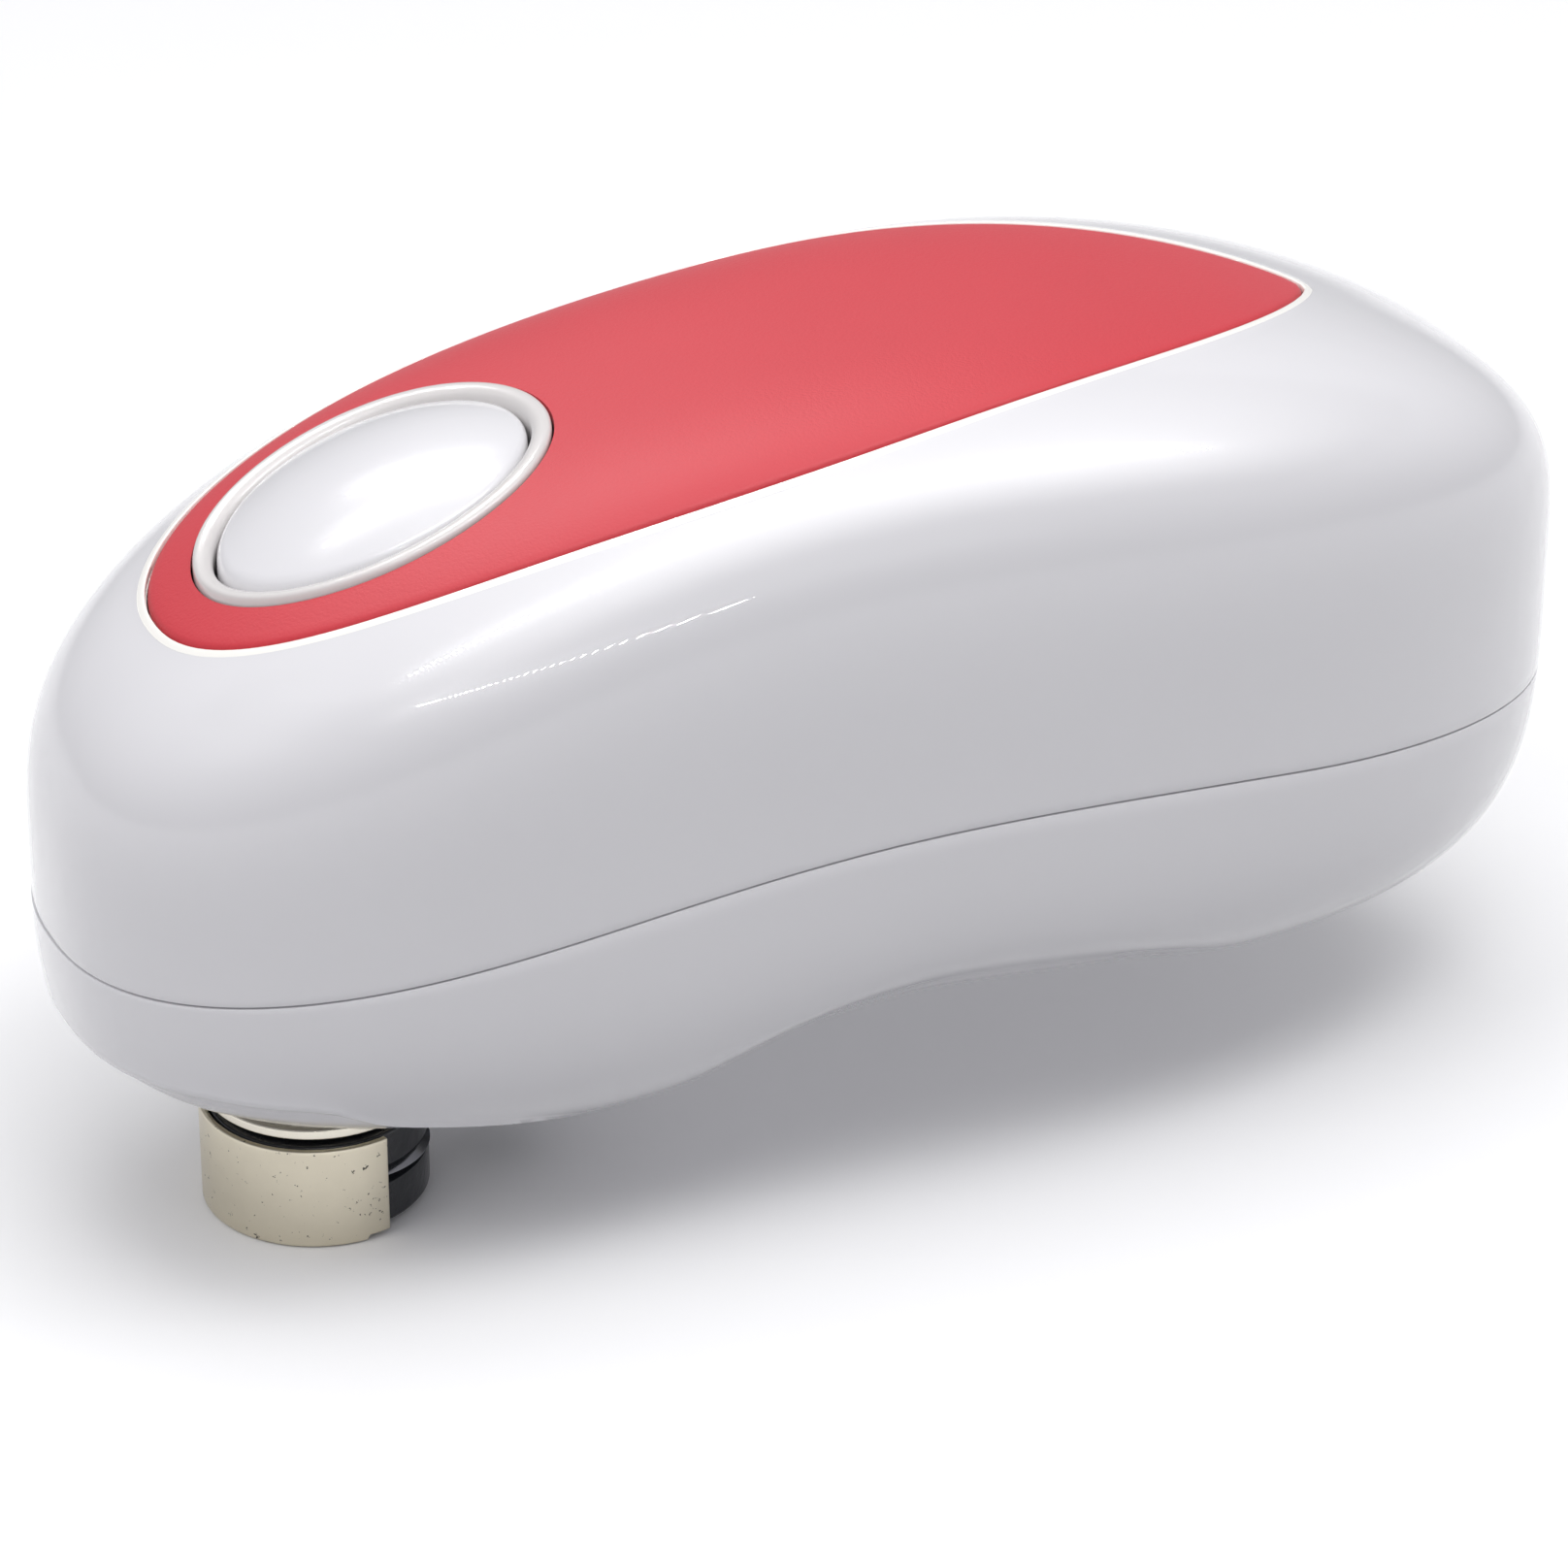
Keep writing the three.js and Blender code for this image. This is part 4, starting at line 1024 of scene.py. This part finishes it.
HEAD_SECTION = [
    (0, 12.8), (11.6, 12.8), (11.6, 13.7), (12.9, 13.7), (12.9, 14.9), (5, 14.9),
    (5, 23.4), (3, 23.4), (3, 57), (0, 57),
]
head = turned("turret_head", TURRET_X, 0, rounded(HEAD_SECTION, 0.22), 128)
bright_plate = metal("bright_nickel_plate", (0.82, 0.78, 0.68), (0.74, 0.70, 0.6), 0.26, 3000.0, 0.08)
finish_piece(head, "turret", bright_plate, ["turret_shaft"])

# ---- Lid magnet -----------------------------------------------------------------------------
# A plated disc magnet let into the foot of the turret; it lifts the cut lid.

MAGNET_SECTION = [(0, 0), (6.0, 0), (6.0, 0.18), (6.25, 0.18), (6.25, 0), (7, 0), (7, 2.8), (0, 2.8)]
magnet = turned("lid_magnet_disc", TURRET_X, 0, rounded(MAGNET_SECTION, 0.15), 96)
finish_piece(magnet, "turret", bright_plate, ["lid_magnet"])

# ---- Cutter wheel and its pin ---------------------------------------------------------------
# A hardened disc ground to a knife edge from both sides, free to turn on a pressed-in pin.

CUTTER_SECTION = [
    (2.3, 6.2), (5.2, 6.2), (5.4, 6.3), (8.1, 6.3), (9.5, 7.0), (8.1, 7.7), (5.4, 7.7),
    (5.2, 7.8), (2.3, 7.8),
]
wheel = turned("cutter_disc", CUTTER_X, CUTTER_Y, rounded(CUTTER_SECTION, 0.06, True), 128)
ground = metal("ground_tool_steel", (0.62, 0.63, 0.66), (0.5, 0.51, 0.54), 0.2, 4200.0, 0.2)
finish_piece(wheel, "cutter", ground, ["cutter_wheel"])
pin = turned("cutter_axle", CUTTER_X, CUTTER_Y, rounded([(0, 4.1), (2, 4.1), (2, 10.6), (0, 10.6)], 0.3), 48)
finish_piece(pin, "turret", ground, ["cutter_pin"])

# ---- Drive wheel and spindle ----------------------------------------------------------------
# The serrated wheel grips the rim of the can. It is pressed on the spindle that comes down
# through the floor of the case from the gears.

TEETH = 24
TOOTH_TOP = 6.5
TOOTH_DEPTH = 0.8
TOOTH_ROOT = 5.2
WHEEL_SECTION = [(3.3, 5.8), (6.5, 5.8), (6.5, 10.2), (4.9, 10.2), (4.9, 14.4), (3.3, 14.4)]


def serrated(angle, out, up):
    if out < TOOTH_ROOT:
        return out
    turn = angle * TEETH / (2 * math.pi) % 1
    share = smooth(abs(turn - 0.5) * 2 * 1.3 - 0.2)
    return out - TOOTH_DEPTH * share * (out - TOOTH_ROOT) / (TOOTH_TOP - TOOTH_ROOT)


driver = turned("serrated_wheel", SPINDLE_X, 0, rounded(WHEEL_SECTION, 0.25, True), TEETH * 10, serrated)
dark_steel = metal("oiled_tool_steel", (0.2, 0.205, 0.22), (0.14, 0.145, 0.155), 0.3, 2600.0, 0.2)
finish_piece(driver, "spindle", dark_steel, ["drive_wheel"])
SPINDLE_SECTION = [(0, 4.8), (1.5, 4.8), (1.5, 5.0), (2.2, 5.0), (3, 5.5), (3, 57), (0, 57)]
spindle = turned("spindle_rod", SPINDLE_X, 0, rounded(SPINDLE_SECTION, 0.15), 64)
turned_steel = metal("turned_steel", (0.56, 0.57, 0.59), (0.45, 0.46, 0.48), 0.25, 3600.0, 0.15)
finish_piece(spindle, "spindle", turned_steel, ["spindle"])

# ---- Bushes ---------------------------------------------------------------------------------
# Natural acetal bushes in the floor of the case, for the turret's hub and for the spindle.

turret_bush = turned(
    "turret_bush_ring", TURRET_X, 0,
    rounded([(5.3, 16.6), (7, 16.6), (7, 23.7), (5.3, 23.7)], 0.2, True), 96,
)
spindle_bush = turned(
    "spindle_bush_ring", SPINDLE_X, 0,
    rounded([(3.3, 17), (5.6, 17), (5.6, 23.7), (3.3, 23.7)], 0.2, True), 96,
)
acetal = plastic("natural_acetal", (0.78, 0.76, 0.68), (0.72, 0.70, 0.62), 0.42)
finish_piece(turret_bush, "housing", acetal, ["turret_bush"])
finish_piece(spindle_bush, "housing", acetal, ["spindle_bush"])

# ---- Housing screws -------------------------------------------------------------------------
# Zinc-plated pan-head screws with a cross recess, deep in the four counterbores of the base.

SCREW_SECTION = [
    (0, 28.3), (1.9, 28.3), (2.8, 28.6), (3.1, 29.2), (3.1, 30.3), (1.4, 30.3), (1.4, 52), (0, 52),
]


def recess_cutter(x, y, length, width, low, high):
    bm = bmesh.new()
    bmesh.ops.create_cube(bm, size=1)
    bmesh.ops.scale(bm, verts=bm.verts, vec=Vector((length, width, high - low)) * MM)
    bmesh.ops.translate(bm, verts=bm.verts, vec=Vector((x, y, (low + high) / 2)) * MM)
    return link("cutter", bm)


zinc = metal("zinc_plate", (0.62, 0.63, 0.64), (0.5, 0.51, 0.53), 0.34, 900.0, 0.05)
for place, (x, y) in enumerate(SCREW_PLACES):
    screw = turned(f"pan_head_screw_{place + 1}", x, y, rounded(SCREW_SECTION, 0.2), 48)
    cut(screw, recess_cutter(x, y, 3.2, 0.7, 28, 29.4))
    cut(screw, recess_cutter(x, y, 0.7, 3.2, 28, 29.4))
    finish_piece(screw, "housing", zinc, [f"housing_screw_{place + 1}"])

# ---- Door grip ribs -------------------------------------------------------------------------
# Five low ribs moulded across the door, where a thumb pushes it to open.

RIB_PLACES = [50, 53, 56, 59, 62]
RIB_HALF = 11
RIB_ROUND = 0.9
RIB_RISE = 0.55


def base_height(x, y):
    """Height of the outside of the base over a point in plan."""
    u = x - WIDEST_X
    across = y / waist_scale(u)
    power = NOSE_POWER if u < 0 else TAIL_POWER
    length = NOSE_LENGTH if u < 0 else TAIL_LENGTH
    ratio = ((abs(u) / length) ** power + (abs(across) / HALF_WIDTH) ** power) ** (1 / power)
    lift = max(0.0, 1 - ratio ** BASE_POWER) ** (1 / BASE_POWER)
    return bulge_height(u) - base_depth(u) * lift


for place, rib_x in enumerate(RIB_PLACES):
    def rib_place(s, t):
        y = RIB_HALF * math.sin(math.pi * (s - 0.5))
        swell = math.cos(math.pi * (s - 0.5)) ** 0.4
        angle = 2 * math.pi * t
        x = rib_x + RIB_ROUND * swell * math.cos(angle)
        return Vector((x, y, base_height(x, y) + 0.1 - RIB_RISE * swell * math.sin(angle)))
    rib = link(f"door_rib_{place + 1}", formed_sheet(40, 16, rib_place))
    finish_piece(rib, "door", white_gloss, ["battery_door"])

# ---- Battery cells --------------------------------------------------------------------------
# Four AA cells side by side, nose and tail by turns: a printed sleeve rolled over a steel can.

CELL_FIRST = 13.5
CELL_LENGTH = 49.2
CELL_Z = 33.4
CELL_SECTION = [
    (0, 0.15), (5.6, 0.15), (5.8, 0), (6.8, 0), (7.25, 0.6), (7.25, 48.3), (5.2, 48.3),
    (5.0, 48.0), (2.7, 48.0), (2.7, 49.2), (0, 49.2),
]
STEEL_REACH = 5.5
BAND = 11.0
cell_wrap = plastic("cell_sleeve", (0.03, 0.033, 0.036), (0.045, 0.048, 0.052), 0.28)
cell_band = plastic("cell_band", (0.55, 0.30, 0.10), (0.50, 0.27, 0.09), 0.28)
for place, y in enumerate((-22.5, -7.5, 7.5, 22.5)):
    facing = -1 if place % 2 == 0 else 1
    start = CELL_FIRST + (CELL_LENGTH if facing < 0 else 0)
    section = rounded(CELL_SECTION, 0.3)

    def cell_place(s, t):
        out, along = section[round(t * (len(section) - 1))]
        angle = 2 * math.pi * s * facing
        return Vector((start + facing * along, y + out * math.cos(angle), CELL_Z + out * math.sin(angle)))

    cell = link(f"aa_cell_{place + 1}", formed_sheet(72, len(section) - 1, cell_place))
    finish_piece(cell, "housing", cell_wrap, [f"battery_cell_{place + 1}"])
    cell.data.materials.append(zinc)
    cell.data.materials.append(cell_band)
    for face in cell.data.polygons:
        middle = face.center / MM
        along = abs(middle.x - start)
        if math.hypot(middle.y - y, middle.z - CELL_Z) < STEEL_REACH:
            face.material_index = 1
        elif along > CELL_LENGTH - BAND:
            face.material_index = 2

# ---- Inner works ----------------------------------------------------------------------------
# The pieces inside the closed case keep their built shapes and take the finish of their slot.
# The moulded and pressed ones have their edges broken.

SLOT_FINISH = {
    "white_shell": white_gloss,
    "red_grip": red_soft,
    "zinc_steel": zinc,
    "machined_steel": turned_steel,
    "spring_steel": metal("bright_spring", (0.7, 0.7, 0.7), (0.6, 0.6, 0.61), 0.22),
    "cell_wrap": cell_wrap,
    "black_plastic": plastic("black_abs", (0.014, 0.015, 0.017), (0.02, 0.021, 0.024), 0.32),
    "acetal": acetal,
    "black_rubber": plastic("friction_rubber", (0.02, 0.02, 0.02), (0.03, 0.03, 0.03), 0.8),
    "nickel": bright_plate,
    "hardened_steel": dark_steel,
    "red_plastic": plastic("red_abs", (0.45, 0.02, 0.02), (0.4, 0.02, 0.02), 0.4),
    "red_lead": plastic("red_pvc", (0.4, 0.015, 0.015), (0.35, 0.012, 0.012), 0.45),
    "black_lead": plastic("black_pvc", (0.015, 0.015, 0.015), (0.022, 0.022, 0.022), 0.5),
}
BROKEN_EDGE = 0.15
EDGE_ANGLE = math.radians(40)
BROKEN_NODES = [
    "battery_tray", "switch_bracket", "micro_switch", "gear_plate_lower", "gear_plate_upper",
    "motor_can", "motor_end_cap",
]
for name in BROKEN_NODES:
    edge = frame["nodes"][name].modifiers.new("broken_edge", "BEVEL")
    edge.width = BROKEN_EDGE * MM
    edge.segments = 2
    edge.limit_method = "ANGLE"
    edge.angle_limit = EDGE_ANGLE
for part in frame["record"]["subparts"]:
    node = frame["nodes"][part["node"]]
    node.data.materials.clear()
    node.data.materials.append(SLOT_FINISH[part["material_slot"]])
